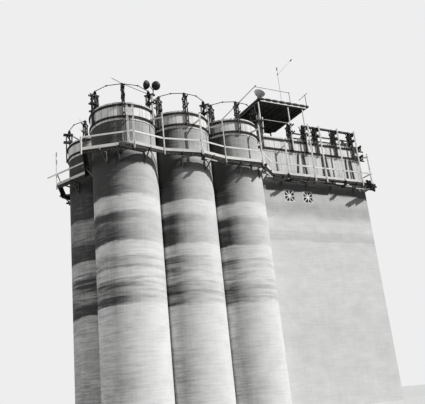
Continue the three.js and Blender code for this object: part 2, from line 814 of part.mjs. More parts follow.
function endWalkway() {
  const brackets = END_BRACKETS.map((y) => bracketFrom([BLOCK_RIGHT + GAP, y], 0));
  return geometryOf(unionOf([planks(), ...ledgers(), ...brackets]).intersect(endZone()));
}

add('walkway_right', oldTimber, endWalkway());

// Hangers carry the walkway from the forms; round the silos each hangs from an outrigger that
// lies on the lower hoop, and along the block they stand against the ends of the yoke beams.
function hangerAt(point, azimuth, top) {
  const half = HANGER / 2;
  const low = point[2] - HANGER_DROP;
  return placed(block(-half, half, -half, half, low, top), point, azimuth);
}

const OUTRIGGER_BOTTOM = HOOP_LEVELS[0] + HOOP_HEIGHT / 2 + GAP;
const OUTRIGGER_TOP = OUTRIGGER_BOTTOM + OUTRIGGER_HEIGHT;
const OUTRIGGER_LEVEL = (OUTRIGGER_BOTTOM + OUTRIGGER_TOP) / 2;
const OUTRIGGER_HOLD = 20;
const END_OUTRIGGER_HOLD = 60;

function outrigger(from, to) {
  return bar([...from, OUTRIGGER_LEVEL], [...to, OUTRIGGER_LEVEL], HANGER, OUTRIGGER_HEIGHT);
}

// Just outside a corner of the edge, so that the hanger's inner face bites into the boards.
function outsideCorner(i) {
  const [x, y, level] = cornerAt(i, 0);
  const [farX, farY] = cornerAt(i, -1000);
  const share = (HANGER / 2 - HANGER_BITE) / Math.hypot(farX - x, farY - y);
  return [x + (farX - x) * share, y + (farY - y) * share, level];
}

function outsideFace(corner, shift) {
  if (shift === 0) {
    return outsideCorner(corner);
  }
  const out = HANGER_BITE - HANGER / 2;
  return shift > 0
    ? onFace(corner, shift, out)
    : onFace(corner - 1, faceLength(corner - 1) + shift, out);
}

function siloHangers(side) {
  return HANGER_TARGETS.flatMap(([corner, shift, column, azimuth]) => {
    const point = outsideFace(side > 0 ? corner : CORNER_PAIR - corner, side * shift);
    const [x, y] = aroundSilo(column, azimuth, FORM_OUTER + OUTRIGGER_HOLD);
    const target = [x, side * y];
    const direction = THREE.MathUtils.radToDeg(Math.atan2(point[1] - target[1], point[0] - target[0]));
    return [
      hangerAt(point, direction, SILO_HANGER_TOP),
      outrigger(target, [point[0], point[1]]),
    ];
  });
}

function blockHangers(side) {
  const y = side * (-WALKWAY_BLOCK_EDGE - HANGER / 2 + JOINT);
  const level = EDGE[FRONT_FACES][2];
  const high = HANGING_YOKES.map((x) => hangerAt([x, y, level], 0, BLOCK_HANGER_TOP));
  return [
    ...high,
    hangerAt([LOW_HANGER, y, level], 0, SILO_HANGER_TOP),
    outrigger([LOW_HANGER, side * (-BLOCK_FORM_FACE - OUTRIGGER_HOLD)], [LOW_HANGER, y]),
  ];
}

function cornerPost(corner, side, top) {
  const point = outsideCorner(corner);
  const direction = THREE.MathUtils.radToDeg(
    Math.atan2(point[1] + side * ROW_OFFSET, point[0] - COLUMNS.left),
  );
  return hangerAt(point, direction, top);
}

function sideGuard(side) {
  const hangers = [...siloHangers(side), ...blockHangers(side)];
  const post = side > 0
    ? [cornerPost(1, 1, EDGE[1][2] + GUARD_HEIGHT)]
    : [cornerPost(EDGE.length - 1, -1, CORNER_POST_TOP), handBoardPast()];
  return geometryOf(unionOf([...guardBoards(), ...hangers, ...post]).intersect(sideZone(side)));
}

// The hand board that runs on past the left corner behind.
function handBoardPast() {
  const face = EDGE.length - 1;
  const level = GUARD_HEIGHT - GUARD_BOARD / 2;
  const [from, to] = [50, -HAND_BOARD_PAST].map((along) => onFace(face, along, GUARD_THICKNESS / 2));
  from[2] += level;
  to[2] += level;
  return bar(from, to, GUARD_THICKNESS, GUARD_BOARD);
}

add('guard_rail_front', newTimber, sideGuard(1));
add('guard_rail_back', newTimber, sideGuard(-1));

function endGuard() {
  const x = EDGE[FRONT_FACES][0] + HANGER / 2 - JOINT;
  const level = EDGE[FRONT_FACES][2];
  const posts = END_HANGERS.map((y) => hangerAt([x, y, level], 0, SILO_HANGER_TOP));
  const outriggers = [END_HANGERS[0], END_HANGERS[3]].map(
    (y) => outrigger([
      BLOCK_HOOP_RIGHT - END_OUTRIGGER_HOLD,
      Math.sign(y) * (BLOCK_HOOP_FACE - END_OUTRIGGER_HOLD),
    ], [x, y]),
  );
  return geometryOf(unionOf([...guardBoards(), ...posts, ...outriggers]).intersect(endZone()));
}

add('guard_rail_right', newTimber, endGuard());

// The shelter over the left half of the block's deck: posts on the yoke heads and on the deck,
// beams round the top and a flat roof.
const SHELTER_BEAM = 200;
const POST = 100;
const FIRST_BACK_POST_SHIFT = 300;
const TIE_HALF = 30;
const TIE_LIFT = 30;
const TIE_BELOW_TOP = 20;
const SHELTER_RAIL_LEVEL = 26100;
const SHELTER_RAIL_RADIUS = 30;

function shelterFrame() {
  const half = POST / 2;
  const top = SHELTER_ROOF_UNDERSIDE - GAP;
  const [x0, x1, x2] = SHELTER_POSTS;
  const beamBottom = top - SHELTER_BEAM;
  const frontPosts = SHELTER_POSTS.map((x) => block(
    x - half,
    x + half,
    SHELTER_FRONT - half,
    SHELTER_FRONT + half,
    HEAD_TOP + GAP,
    top - JOINT,
  ));
  const backPosts = [x0 + FIRST_BACK_POST_SHIFT, x1, x2].map((x) => block(
    x - half,
    x + half,
    SHELTER_BACK - half,
    SHELTER_BACK + half,
    FORM_TOP + GAP,
    top - JOINT,
  ));
  const beams = [SHELTER_FRONT, SHELTER_BACK].map((y) => block(
    x0 - half,
    x2 + half,
    y - half,
    y + half,
    beamBottom,
    top,
  ));
  const ties = [x0, x1, x2].map((x) => block(
    x - TIE_HALF,
    x + TIE_HALF,
    SHELTER_FRONT,
    SHELTER_BACK,
    beamBottom + TIE_LIFT,
    top - TIE_BELOW_TOP,
  ));
  const [from, to] = [x0, x1].map((x) => [x, SHELTER_FRONT, SHELTER_RAIL_LEVEL]);
  const rail = tube(from, to, SHELTER_RAIL_RADIUS);
  return fused([...frontPosts, ...backPosts, ...beams, ...ties, rail]);
}

add('shelter_frame', newTimber, shelterFrame());

// The roof, with a short stay at its right end that carries a raking rod.
const ROOF_TOP = SHELTER_ROOF_UNDERSIDE + 130;
const ROOF_LEFT = SHELTER_POSTS[0] - 120;
const ROOF_RIGHT = SHELTER_POSTS[2] + 700;
const ROOF_OVERHANG = 150;
const STAY_INSET = 60;
const STAY_TOP = 29580;
const STAY_RADIUS = 30;
const ROD_RADIUS = 26;
const ROD_LOW = [-880, -750];
const ROD_HIGH = [300, 256];

function shelterRoof() {
  const [x, y] = [ROOF_RIGHT - STAY_INSET, SHELTER_FRONT];
  const rodEnds = [ROD_LOW, ROD_HIGH].map(([dx, dz]) => [x + dx, y, STAY_TOP + dz]);
  return fused([
    block(
      ROOF_LEFT,
      ROOF_RIGHT,
      SHELTER_FRONT - ROOF_OVERHANG,
      SHELTER_BACK + ROOF_OVERHANG,
      SHELTER_ROOF_UNDERSIDE,
      ROOF_TOP,
    ),
    tube([x, y, ROOF_TOP - STAY_INSET], [x, y, STAY_TOP], STAY_RADIUS),
    tube(...rodEnds, ROD_RADIUS),
  ]);
}

add('shelter_roof', oldTimber, shelterRoof());

// Floodlights: spun bowls on short arms.
function bowl(mouth, depth) {
  const wall = 14;
  const shoulder = 0.6;
  const shoulderDepth = 0.8;
  const lining = 0.95;
  const profile = [
    [0, -depth],
    [mouth * shoulder, -depth * shoulderDepth],
    [mouth, 0],
    [mouth - wall, 0],
    [mouth * shoulder * lining, -depth * shoulderDepth * lining],
    [0, -depth + wall],
  ];
  return new THREE.LatheGeometry(profile.map(([r, y]) => new THREE.Vector2(r, y)), BOWL_SIDES);
}

// Turns a piece whose axis is +Y so that it faces along a direction, and moves it.
function facing(geometry, direction, position) {
  const axis = new THREE.Vector3(...direction).normalize();
  geometry.applyQuaternion(new THREE.Quaternion().setFromUnitVectors(new THREE.Vector3(0, 1, 0), axis));
  geometry.translate(...position);
  return geometry;
}

function lamp(joint, back, direction, mouth, depth) {
  const axis = new THREE.Vector3(...direction).normalize();
  const base = new THREE.Vector3(...back);
  const centre = base.clone().addScaledVector(axis, depth);
  const neck = base.clone().addScaledVector(axis, LAMP_NECK);
  return [
    facing(bowl(mouth, depth), direction, centre.toArray()),
    tube(joint, neck.toArray(), LAMP_ARM),
  ];
}

function floodlightPair() {
  const [x, y] = aroundSilo('left', YOKE_AZIMUTHS.left[3], MID_WALL_RADIUS + OUTER_LEG_BACK + 120);
  const joint = [x, y, HEAD_TOP + 330];
  return fused([
    tube([x, y, HEAD_TOP + GAP], joint, LAMP_POST),
    ...lamp(joint, [x - 430, y - 150, joint[2] + 330], [-0.35, 0.55, 0.3], BOWL_RADIUS, BOWL_DEPTH),
    ...lamp(joint, [x + 130, y - 130, joint[2] + 400], [0.5, 0.5, 0.3], BOWL_RADIUS, BOWL_DEPTH),
  ]);
}

function floodlightSingle() {
  const [x, y] = [SHELTER_POSTS[0] + 60, SHELTER_FRONT + 60];
  const joint = [x, y, ROOF_TOP + 260];
  return fused([
    tube([x, y, ROOF_TOP + GAP], joint, LAMP_POST),
    ...lamp(joint, [x + 60, y - 90, joint[2] + 90], [0.4, -0.1, 0.9], WIDE_BOWL_RADIUS, WIDE_BOWL_DEPTH),
  ]);
}

add('floodlight_pair', darkSteel, floodlightPair());
add('floodlight_single', paleSteel, floodlightSingle());

// The forked mast on the shelter roof, and the raking pole that carries the roof's rail.
const MAST_PLATE = { radius: 150, thickness: 40 };
const MAST_RADIUS = 28;
const BRANCH_RADIUS = 24;
const MAST_OVER_FORK = 500;
const MAST_CAP = { radius: 60, length: 370, overlap: 50 };
const MAST_SIDES = 6;

function forkedMast() {
  const [x, y] = MAST_FOOT;
  const stemTop = MAST_FORK + MAST_OVER_FORK;
  const capBottom = stemTop - MAST_CAP.overlap;
  const cap = disc(MAST_CAP.radius, capBottom, capBottom + MAST_CAP.length, MAST_SIDES);
  const plateTop = ROOF_TOP + MAST_PLATE.thickness;
  return fused([
    disc(MAST_PLATE.radius, ROOF_TOP + GAP, plateTop, MAST_SIDES).translate(x, y, 0),
    tube([x, y, (ROOF_TOP + plateTop) / 2], [x, y, stemTop], MAST_RADIUS),
    tube([x, y, MAST_FORK], MAST_TIP, BRANCH_RADIUS),
    cap.translate(x, y, 0),
    facing(
      new THREE.CylinderGeometry(MAST_CAP.radius, MAST_CAP.radius, MAST_CAP.length, MAST_SIDES),
      [MAST_TIP[0] - x, 0, MAST_TIP[2] - MAST_FORK],
      MAST_TIP,
    ),
  ]);
}

const RAIL_LINE = -3550;
const RAKE_FOOT = [3560, RAIL_LINE, ON_DECK + 60];
const RAKE_HEAD = [8750, RAIL_LINE, 29900];

const RAKE_RADIUS = 35;
const RAKE_SHOE = { radius: 110, height: 70 };
const RAIL_BELOW_HEAD = 180;
const RAIL_START = 200;
const RAIL_PAST_MAST = 300;
const RAIL_RADIUS = 24;
const RAIL_POST = { radius: 26, above: 60 };

function roofRail() {
  const end = [MAST_FOOT[0] + RAIL_PAST_MAST, RAIL_LINE];
  const level = RAKE_HEAD[2] - RAIL_BELOW_HEAD;
  const shoe = disc(RAKE_SHOE.radius, ON_DECK, ON_DECK + RAKE_SHOE.height, MAST_SIDES);
  return fused([
    shoe.translate(RAKE_FOOT[0], RAIL_LINE, 0),
    tube(RAKE_FOOT, RAKE_HEAD, RAKE_RADIUS),
    tube([RAKE_HEAD[0] - RAIL_START, RAIL_LINE, level], [...end, level], RAIL_RADIUS),
    tube([...end, ROOF_TOP + GAP], [...end, level + RAIL_POST.above], RAIL_POST.radius),
  ]);
}

add('forked_mast', darkSteel, forkedMast());
add('roof_rail', darkSteel, roofRail());

export default model;
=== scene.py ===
# %% [markdown]
# # Concrete silos that are still growing
# Six round grain cells and a rectangular bin block are being cast with a climbing form. The
# form is a ring of upright boards that screw jacks lift while fresh concrete goes in. This
# lesson dresses the plain solids of that plant with boards, bolts and weather, step by step.

# %% Load the plain solids
import random
from math import atan2, ceil, copysign, cos, degrees, pi, radians, sin, sqrt

import bpy
from mathutils import Matrix, Vector


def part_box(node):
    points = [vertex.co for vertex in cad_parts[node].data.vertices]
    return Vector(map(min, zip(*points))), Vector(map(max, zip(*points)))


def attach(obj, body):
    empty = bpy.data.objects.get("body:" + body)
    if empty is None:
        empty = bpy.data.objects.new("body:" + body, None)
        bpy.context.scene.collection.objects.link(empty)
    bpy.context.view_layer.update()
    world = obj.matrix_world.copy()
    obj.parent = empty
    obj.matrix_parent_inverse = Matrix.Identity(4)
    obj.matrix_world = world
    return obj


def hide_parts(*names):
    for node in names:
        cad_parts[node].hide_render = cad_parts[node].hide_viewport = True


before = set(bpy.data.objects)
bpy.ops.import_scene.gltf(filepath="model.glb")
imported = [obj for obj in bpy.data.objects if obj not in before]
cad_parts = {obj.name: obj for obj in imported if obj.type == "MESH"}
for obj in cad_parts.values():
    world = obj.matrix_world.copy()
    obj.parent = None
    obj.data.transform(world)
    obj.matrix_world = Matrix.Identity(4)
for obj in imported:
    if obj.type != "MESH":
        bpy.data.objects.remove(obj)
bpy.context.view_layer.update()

# %% [markdown]
# The main sizes are measured once, in metres. The cells stand in two rows that touch, the
# block closes the right end, and the plant is the same in front and behind, so one set of
# numbers serves both sides. Touching pieces keep a gap of a hair.

# %% Sizes of the plant
HAIR = 0.0003
SPACING = 5.02
ROW = 3.315
RADIUS = 2.6
WALL = 0.18
MID_WALL = RADIUS - WALL / 2
CREASE = SPACING / 2
COLUMNS = {"left": -SPACING, "middle": 0.0, "right": SPACING}
ROWS = {"front": 1, "back": -1}

BOARD = 0.045
FORM_IN = RADIUS + HAIR
FORM_OUT = FORM_IN + BOARD
FORM_FOOT = 23.05
FORM_HEAD = 24.62
HOOP_LEVELS = (23.32, 24.34)
HOOP_HIGH = 0.15
HOOP_DEEP = 0.1

block_low, block_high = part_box("deck_block")
BLOCK_LEFT = block_low.x - WALL
BLOCK_RIGHT = block_high.x + WALL
BLOCK_FACE = 3.55
print("block from", round(BLOCK_LEFT, 3), "to", round(BLOCK_RIGHT, 3))

# %% [markdown]
# Dice with a fixed seed make every board a little different, and give the same plant on
# each run. Directions round a cell are in degrees.

# %% Dice and directions
dice = random.Random(1953)
between = dice.uniform


def about(value, spread):
    return value + between(-spread, spread)


def vec(x, y, z=0.0):
    return Vector((x, y, z))


def lean_of(way):
    return cos(radians(way)), sin(radians(way))


UP = vec(0, 0, 1)
FRONT_BACK = vec(0, 1)
print("dice and directions are ready")

# %% [markdown]
# Carpentry needs hundreds of boards. One object for each would be slow and a modifier could
# not bend them round a cell, so a bench collects the corners of many boards into one mesh.
# For each board it notes a tone and the way its grain runs, which the finishes read later.
# A bench for the back row flips its work over the middle line.

# %% A bench for boards, rods and turned parts
BOX_SIDES = ((3, 2, 1, 0), (4, 5, 6, 7), (0, 1, 5, 4), (1, 2, 6, 5), (2, 3, 7, 6), (3, 0, 4, 7))
SQUARE = ((-1, -1), (1, -1), (1, 1), (-1, 1))
STEP = radians(2.5)
GRAIN_ROOM = 40
EDGE_TURN = radians(50)
SHARP_TURN = radians(35)


def turns(count):
    return [2 * pi * k / count for k in range(count)]


class Bench:
    """Collects boards, rods and turned parts and nails them up as one piece."""

    def __init__(self, row="front"):
        self.side = ROWS[row]
        self.corners = []
        self.sides = []
        self.tones = []
        self.grain = []
        self.finishes = []

    def put(self, corners, sides, grain=None, tone=None, finish=0):
        start = len(self.corners)
        shift = Vector([between(0, GRAIN_ROOM) for _ in range(3)])
        tone = dice.random() if tone is None else tone
        self.corners += [(x, y * self.side, z) for x, y, z in corners]
        for side in sides:
            self.sides.append([start + i for i in side[:: self.side]])
            self.finishes.append(finish)
        self.tones += [tone] * len(corners)
        self.grain += [tuple(Vector(g) + shift) for g in (grain or corners)]

    def block(self, corners, **notes):
        """Eight corners: the four of one end, then the four of the other."""
        wide, high, length = ((Vector(corners[i]) - Vector(corners[0])).length for i in (1, 3, 4))
        square = [(0, 0), (wide, 0), (wide, high), (0, high)]
        grain = [(along, a, b) for along in (0, length) for a, b in square]
        self.put(corners, BOX_SIDES, grain, **notes)

    def bar(self, start, end, wide, high, across=None, **notes):
        """A sawn bar; its width lies level, or along the given direction."""
        start, end = Vector(start), Vector(end)
        along = (end - start).normalized()
        across = UP.cross(along) if across is None else Vector(across)
        side = (across - along * along.dot(across)).normalized()
        up = along.cross(side)
        spread = [side * (a * wide / 2) + up * (b * high / 2) for a, b in SQUARE]
        self.block([point + out for point in (start, end) for out in spread], **notes)

    def turned(self, profile, foot, way, sides, grain=None, **notes):
        """A turned part: (radius, distance along the axis) pairs, closed at both ends."""
        foot, way = Vector(foot), Vector(way).normalized()
        lean = vec(1, 0) if abs(way.x) < 0.8 else vec(0, 1)
        lean = (lean - way * way.dot(lean)).normalized()
        other = way.cross(lean)
        corners, rings = [], []
        for radius, far in profile:
            count = sides if radius > 0 else 1
            rings.append(range(len(corners), len(corners) + count))
            for turn in turns(count):
                out = lean * cos(turn) + other * sin(turn)
                corners.append(foot + way * far + out * radius)
        faces = [rings[0][::-1], rings[-1]]
        for low, high in zip(rings, rings[1:]):
            for k in range(sides):
                n = (k + 1) % sides
                ring = [low[k % len(low)], low[n % len(low)], high[n % len(high)], high[k % len(high)]]
                faces.append(list(dict.fromkeys(ring)))
        self.put(corners, [face for face in faces if len(face) > 1], grain, **notes)

    def drum(self, middle, way, radius, half, sides=12, **notes):
        """A short round part, centred on a point."""
        self.turned([(radius, -half), (radius, half)], middle, way, sides, **notes)

    def rod(self, start, end, radius, sides=10, **notes):
        """A straight round bar or tube."""
        start, end = Vector(start), Vector(end)
        ends = (0, (end - start).length)
        grain = [(far, radius * cos(turn), radius * sin(turn)) for far in ends for turn in turns(sides)]
        self.turned([(radius, far) for far in ends], start, end - start, sides, grain, **notes)

    def bent(self, centre, near, far, low, high, start, end):
        """A board sawn round an upright axis, between two directions in degrees."""
        start, end = radians(start), radians(end)
        steps = max(1, ceil(abs(end - start) / STEP))
        corners, grain = [], []
        for i in range(steps + 1):
            turn = start + (end - start) * i / steps
            for radius, level in ((near, low), (far, low), (far, high), (near, high)):
                corners.append((centre[0] + radius * cos(turn), centre[1] + radius * sin(turn), level))
                grain.append((turn * far, radius, level))
        faces = [(0, 1, 2, 3), tuple(steps * 4 + k for k in (3, 2, 1, 0))]
        for i in range(0, steps * 4, 4):
            for k in range(4):
                a, b = i + k, i + (k + 1) % 4
                faces.append((a, a + 4, b + 4, b))
        self.put(corners, faces, grain)

    def nail_up(self, name, node, slot, *finishes, wear=0.004):
        """Makes the piece, rounds its edges and lets it stand for a plain solid."""
        mesh = bpy.data.meshes.new(name)
        mesh.from_pydata(self.corners, [], self.sides)
        mesh.attributes.new("tone", "FLOAT", "POINT").data.foreach_set("value", self.tones)
        flat = [value for g in self.grain for value in g]
        mesh.attributes.new("grain", "FLOAT_VECTOR", "POINT").data.foreach_set("vector", flat)
        for finish in finishes:
            mesh.materials.append(finish)
        mesh.polygons.foreach_set("material_index", self.finishes)
        mesh.shade_smooth()
        mesh.set_sharp_from_angle(angle=SHARP_TURN)
        piece = bpy.data.objects.new(name, mesh)
        bpy.context.scene.collection.objects.link(piece)
        if wear:
            edge = piece.modifiers.new("worn_edges", "BEVEL")
            edge.width = wear
            edge.segments = 1
            edge.limit_method = "ANGLE"
            edge.angle_limit = EDGE_TURN
            edge.harden_normals = True
        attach(piece, "root")
        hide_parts(node)
        print(f"{name}: {len(mesh.polygons)} faces")


print("the bench makes boards, rods and turned parts")

# %% [markdown]
# A finish is a sheet of shader nodes. Written node by node it would fill pages, so a small
# class wraps each socket and turns plus, minus, times and divide into Math nodes. Every
# other node comes from one method that takes its kind, its settings and its sockets.

# %% Sockets that work like numbers
def operator(operation):
    """A method that makes a Math node of two values."""
    def method(value, other):
        return value.finish.node("ShaderNodeMath", {"operation": operation}, {0: value, 1: other})

    return method


class Value:
    """The output of a node, which can be used in sums."""

    def __init__(self, finish, socket):
        self.finish = finish
        self.socket = socket

    __add__ = operator("ADD")
    __mul__ = operator("MULTIPLY")
    __sub__ = operator("SUBTRACT")
    __truediv__ = operator("DIVIDE")
    turned_from = operator("ARCTAN2")
    folded = operator("PINGPONG")
    most = operator("MAXIMUM")
    least = operator("MINIMUM")

    def held(self):
        """Kept between nought and one."""
        return self.most(0.0).least(1.0)


class Finish:
    """One finish: a shader with the nodes that vary it."""

    def __init__(self, name, metallic=0.0):
        self.material = bpy.data.materials.new(name)
        self.material.use_nodes = True
        self.tree = self.material.node_tree
        self.shader = self.tree.nodes["Principled BSDF"]
        self.shader.inputs["Metallic"].default_value = metallic

    def plug(self, value, socket):
        if isinstance(value, Value):
            self.tree.links.new(value.socket, socket)
        else:
            socket.default_value = value

    def node(self, kind, settings, sockets, out=0):
        made = self.tree.nodes.new(kind)
        for key, value in settings.items():
            setattr(made, key, value)
        for key, value in sockets.items():
            self.plug(value, made.inputs[key])
        return Value(self, made.outputs[out])

    def ramp(self, value, stops):
        made = self.node("ShaderNodeValToRGB", {}, {"Fac": value})
        elements = made.socket.node.color_ramp.elements
        elements[0].position, elements[1].position = stops[0][0], stops[-1][0]
        for place, _ in stops[1:-1]:
            elements.new(place)
        for stop, (_, shade) in zip(elements, stops):
            stop.color = (shade, shade, shade, 1) if isinstance(shade, float) else (*shade, 1)
        return made

    def spread(self, value, low, high, to_low=0.0, to_high=1.0):
        """Maps one range onto another and holds the ends."""
        sockets = dict(enumerate((value, low, high, to_low, to_high)))
        return self.node("ShaderNodeMapRange", {}, sockets)

    def place(self):
        return self.node("ShaderNodeTexCoord", {}, {}, out=3)

    def noted(self, name, out):
        return self.node("ShaderNodeAttribute", {"attribute_name": name}, {}, out)

    def vector(self, operation, vector, by):
        return self.node("ShaderNodeVectorMath", {"operation": operation}, {0: vector, 1: by})

    def window(self, value, low, full, end, wane):
        """One between full and wane, and nought below low and above end."""
        return self.spread(value, low, full) * self.spread(value, end, wane)

    def noise(self, vector, scale, detail=3.0, roughness=0.5):
        """Cloudy noise; three scales stretch it, one scale leaves it round."""
        if isinstance(scale, tuple):
            vector, scale = self.vector("MULTIPLY", vector, scale), 1.0
        sockets = {"Vector": vector, "Scale": scale, "Detail": detail, "Roughness": roughness}
        return self.node("ShaderNodeTexNoise", {}, sockets)

    def blend(self, a, b, factor):
        return self.node("ShaderNodeMix", {"data_type": "RGBA"}, {0: factor, 6: a, 7: b}, out=2)

    def feed(self, colour, rough, height=None, distance=0.0, strength=0.6):
        """Joins the varied values to the shader; a height becomes a bump."""
        inputs = self.shader.inputs
        self.plug(colour, inputs["Base Color"])
        self.plug(rough, inputs["Roughness"])
        if height is not None:
            sockets = {"Height": height, "Distance": distance, "Strength": strength}
            self.plug(self.node("ShaderNodeBump", {}, sockets), inputs["Normal"])
        return self.material


print("nodes are ready")

# %% [markdown]
# Slipped concrete shows two things: fine level layers where the form crept upwards, and dark
# bands where wet pours had not dried. The bands have sharp lower edges and soft upper ones.
# Each band is a stop of a ramp that reads the height, and a second ramp that reads the direction
# round the cell weakens it. That second ramp keeps the bands strong on the side away from the
# sun, partly as damp that lasts there and partly as painted shade, and makes them a little
# stronger by the creases, which is painted crease shade. Below the form, where the concrete is
# youngest, it is damp all round, and a band just under the walkway is painted shadow of the walkway.

# %% Finish of the cast walls
HEIGHT = 24.6
STAVE = 0.117
# Stops of the front row; from 19.4 to 20.2 they rise over one, painted shadow of the walkway over the damp
# band.
NEAR_BANDS_AND_PAINTED_SHADOW = [
    (0.0, 0.12), (3.5, 0.2), (5.6, 0.1), (8.55, 0.08), (8.7, 0.6), (9.9, 0.58), (10.35, 0.16),
    (11.3, 0.14), (11.42, 0.4), (11.95, 0.36), (12.35, 0.08), (13.2, 0.06), (13.35, 0.94),
    (14.45, 0.9), (14.7, 0.7), (14.9, 0.72), (15.0, 0.95), (15.45, 0.9), (15.85, 0.14),
    (16.8, 0.1), (16.95, 0.98), (17.4, 1.05), (17.9, 0.97), (19.4, 1.12), (20.2, 1.3),
    (21.2, 0.95), (24.6, 0.84),
]
FAR_BANDS = [
    (0.0, 0.3), (5.0, 0.24), (8.9, 0.26), (9.05, 0.92), (9.75, 0.88), (10.1, 0.46), (11.4, 0.44),
    (11.5, 0.64), (11.95, 0.6), (12.2, 0.26), (13.4, 0.3), (13.55, 0.96), (14.7, 0.94),
    (15.2, 0.58), (15.8, 0.48), (17.0, 0.52), (17.15, 0.97), (20.4, 1.0), (24.6, 1.0),
]
# Stops of the block; from 19.05 to 20.1 they are painted shadow under the walkway.
BLOCK_BANDS_AND_PAINTED_SHADOW = [
    (0.0, 0.06), (6.0, 0.1), (10.0, 0.05), (14.4, 0.06), (14.5, 0.2), (15.3, 0.12), (15.5, 0.03),
    (16.3, 0.05), (16.9, 0.24), (17.6, 0.33), (18.5, 0.22), (19.05, 0.28), (19.2, 0.7),
    (19.8, 0.62), (20.1, 0.16), (22.0, 0.12), (24.6, 0.12),
]
CONCRETE_SHADES = [
    (0.0, (0.80, 0.80, 0.795)), (0.22, (0.62, 0.62, 0.615)), (0.45, (0.42, 0.42, 0.415)),
    (0.7, (0.23, 0.23, 0.228)), (0.9, (0.115, 0.115, 0.113)), (1.0, (0.078, 0.078, 0.076)),
]
# How strong the bands are from one side of a cell to the other: strongest away from the sun, partly damp
# and partly painted shade, and raised again near the creases as painted crease shade.
SIDE_STAIN_AND_SHADE = {
    "left": [
        (0.0, 1.0), (0.22, 1.0), (0.30, 0.76), (0.39, 0.52), (0.50, 0.34), (0.62, 0.22),
        (0.80, 0.16), (0.90, 0.34), (1.0, 0.5),
    ],
    "middle": [
        (0.0, 1.0), (0.22, 1.0), (0.28, 0.70), (0.36, 0.42), (0.46, 0.28), (0.60, 0.2),
        (0.80, 0.16), (0.88, 0.34), (1.0, 0.6),
    ],
    "far": [(0.0, 1.0), (0.30, 0.95), (0.6, 0.85), (1.0, 0.6)],
}
PRINT_STARTS = (20.3, 21.2)
FRESH = (20.9, 22.0)
# A band of painted shadow just under the walkway, where its shadow falls on the cells.
PAINTED_WALKWAY_SHADOW = (19.3, 19.6, 20.4, 20.15)
STRIPED = (8.4, 8.9, 12.9, 12.3)

# Stretch along the wall and up it, detail and roughness of each noise.
WANDER = ((0.45, 1.1, 1.0), 5.0, 0.6)
RIPPLE = ((0.22, 2.6, 1.0), 4.0, 0.6)
LAYER = ((0.5, 6.0, 1.0), 5.0, 0.7)
DRAG = ((0.8, 26.0, 1.0), 3.0, 0.6)
PATCH = ((0.55, 0.8, 1.0), 6.0, 0.65)
STREAK = ((6.5, 0.3, 1.0), 3.0, 0.6)
GRIT = (38.0, 4.0, 0.65)


def cast_concrete(name, centre, bands, strength=None, side=-1):
    """Concrete round one upright axis, or flat where no strength is given."""
    finish = Finish(name)
    place = finish.place()
    local = finish.vector("ADD", place, (-centre[0], -centre[1], 0.0))
    split = finish.node("ShaderNodeSeparateXYZ", {}, {0: local})
    x, y, z = (Value(finish, socket) for socket in split.socket.node.outputs)
    around = x.turned_from(y * side)
    run = around * RADIUS if strength else x + y
    flat = finish.node("ShaderNodeCombineXYZ", {}, {0: run, 1: z, 2: centre[0]})
    looks = (WANDER, RIPPLE, LAYER, DRAG, PATCH, STREAK)
    wander, ripple, layer, drag, patch, streak = (finish.noise(flat, *look) - 0.5 for look in looks)
    grit = finish.noise(place, *GRIT) - 0.5
    joint = finish.spread((run / STAVE).folded(0.5), 0.0, 0.09, 1.0, 0.0)
    level = z + wander * 0.8 + ripple * 0.4
    band = finish.ramp(level / HEIGHT, [(height / HEIGHT, value) for height, value in bands])
    dirt = layer * 0.42 + patch * 0.6 + drag * 0.2 + grit * 0.1 + streak * 0.22
    if strength:
        turned = finish.spread(around, -pi / 2, pi / 2)
        # shaded is the side ramp: partly damp that lasts away from the sun, partly painted shade there and
        # by the creases.
        shaded = finish.ramp(turned + wander * 0.07 + layer * 0.05, strength)
        # Damp young concrete below the form, plus a band of painted shadow under the walkway.
        wet_and_painted_shadow = finish.spread(level, *FRESH, 0.0, 0.16) + finish.window(z, *PAINTED_WALKWAY_SHADOW) * 0.24
        stripes = finish.spread(ripple, -0.02, 0.1, 0.0, 0.42) * finish.window(z, *STRIPED)
        stripes = stripes * (shaded * 0.75 + 0.25)
        stain = (band + layer * 0.7) * shaded + wet_and_painted_shadow + stripes + dirt * (shaded * 0.8 + 0.4) + 0.02
    else:
        stain = band + dirt * 0.55 + 0.04
    boards = streak * (0.25 if strength else 0.9) + joint * 0.05
    seen = stain + joint * 0.015 + finish.spread(z, *PRINT_STARTS) * boards
    colour = finish.ramp(seen.held(), CONCRETE_SHADES)
    rough = finish.spread(stain, 0.0, 1.0, 0.93, 0.74)
    return finish.feed(colour, rough, grit * 0.35 + drag * 0.4 + layer * 0.3 + joint * 0.4, 0.006)


concrete = {}
for column, x in COLUMNS.items():
    strength = SIDE_STAIN_AND_SHADE["left" if column == "left" else "middle"]
    near = cast_concrete(f"concrete_front_{column}", (x, -ROW), NEAR_BANDS_AND_PAINTED_SHADOW, strength)
    far = cast_concrete(f"concrete_back_{column}", (x, ROW), FAR_BANDS, SIDE_STAIN_AND_SHADE["far"], 1)
    concrete["front", column], concrete["back", column] = near, far
block_concrete = cast_concrete("concrete_block", (0.0, 0.0), BLOCK_BANDS_AND_PAINTED_SHADOW)
link_concrete = cast_concrete("concrete_links", (0.0, 0.0), FAR_BANDS)
print("concrete finishes:", len(concrete) + 2)

# %% [markdown]
# Timber on a site is never one colour: new boards are nearly white, old ones are grey and
# splashed with cement, and planks underfoot are dark. One maker of wood takes three shades
# and reads the tone and the grain that the bench noted for each board.

# %% Finish of the timber
CEMENT = (0.55, 0.55, 0.54, 1.0)


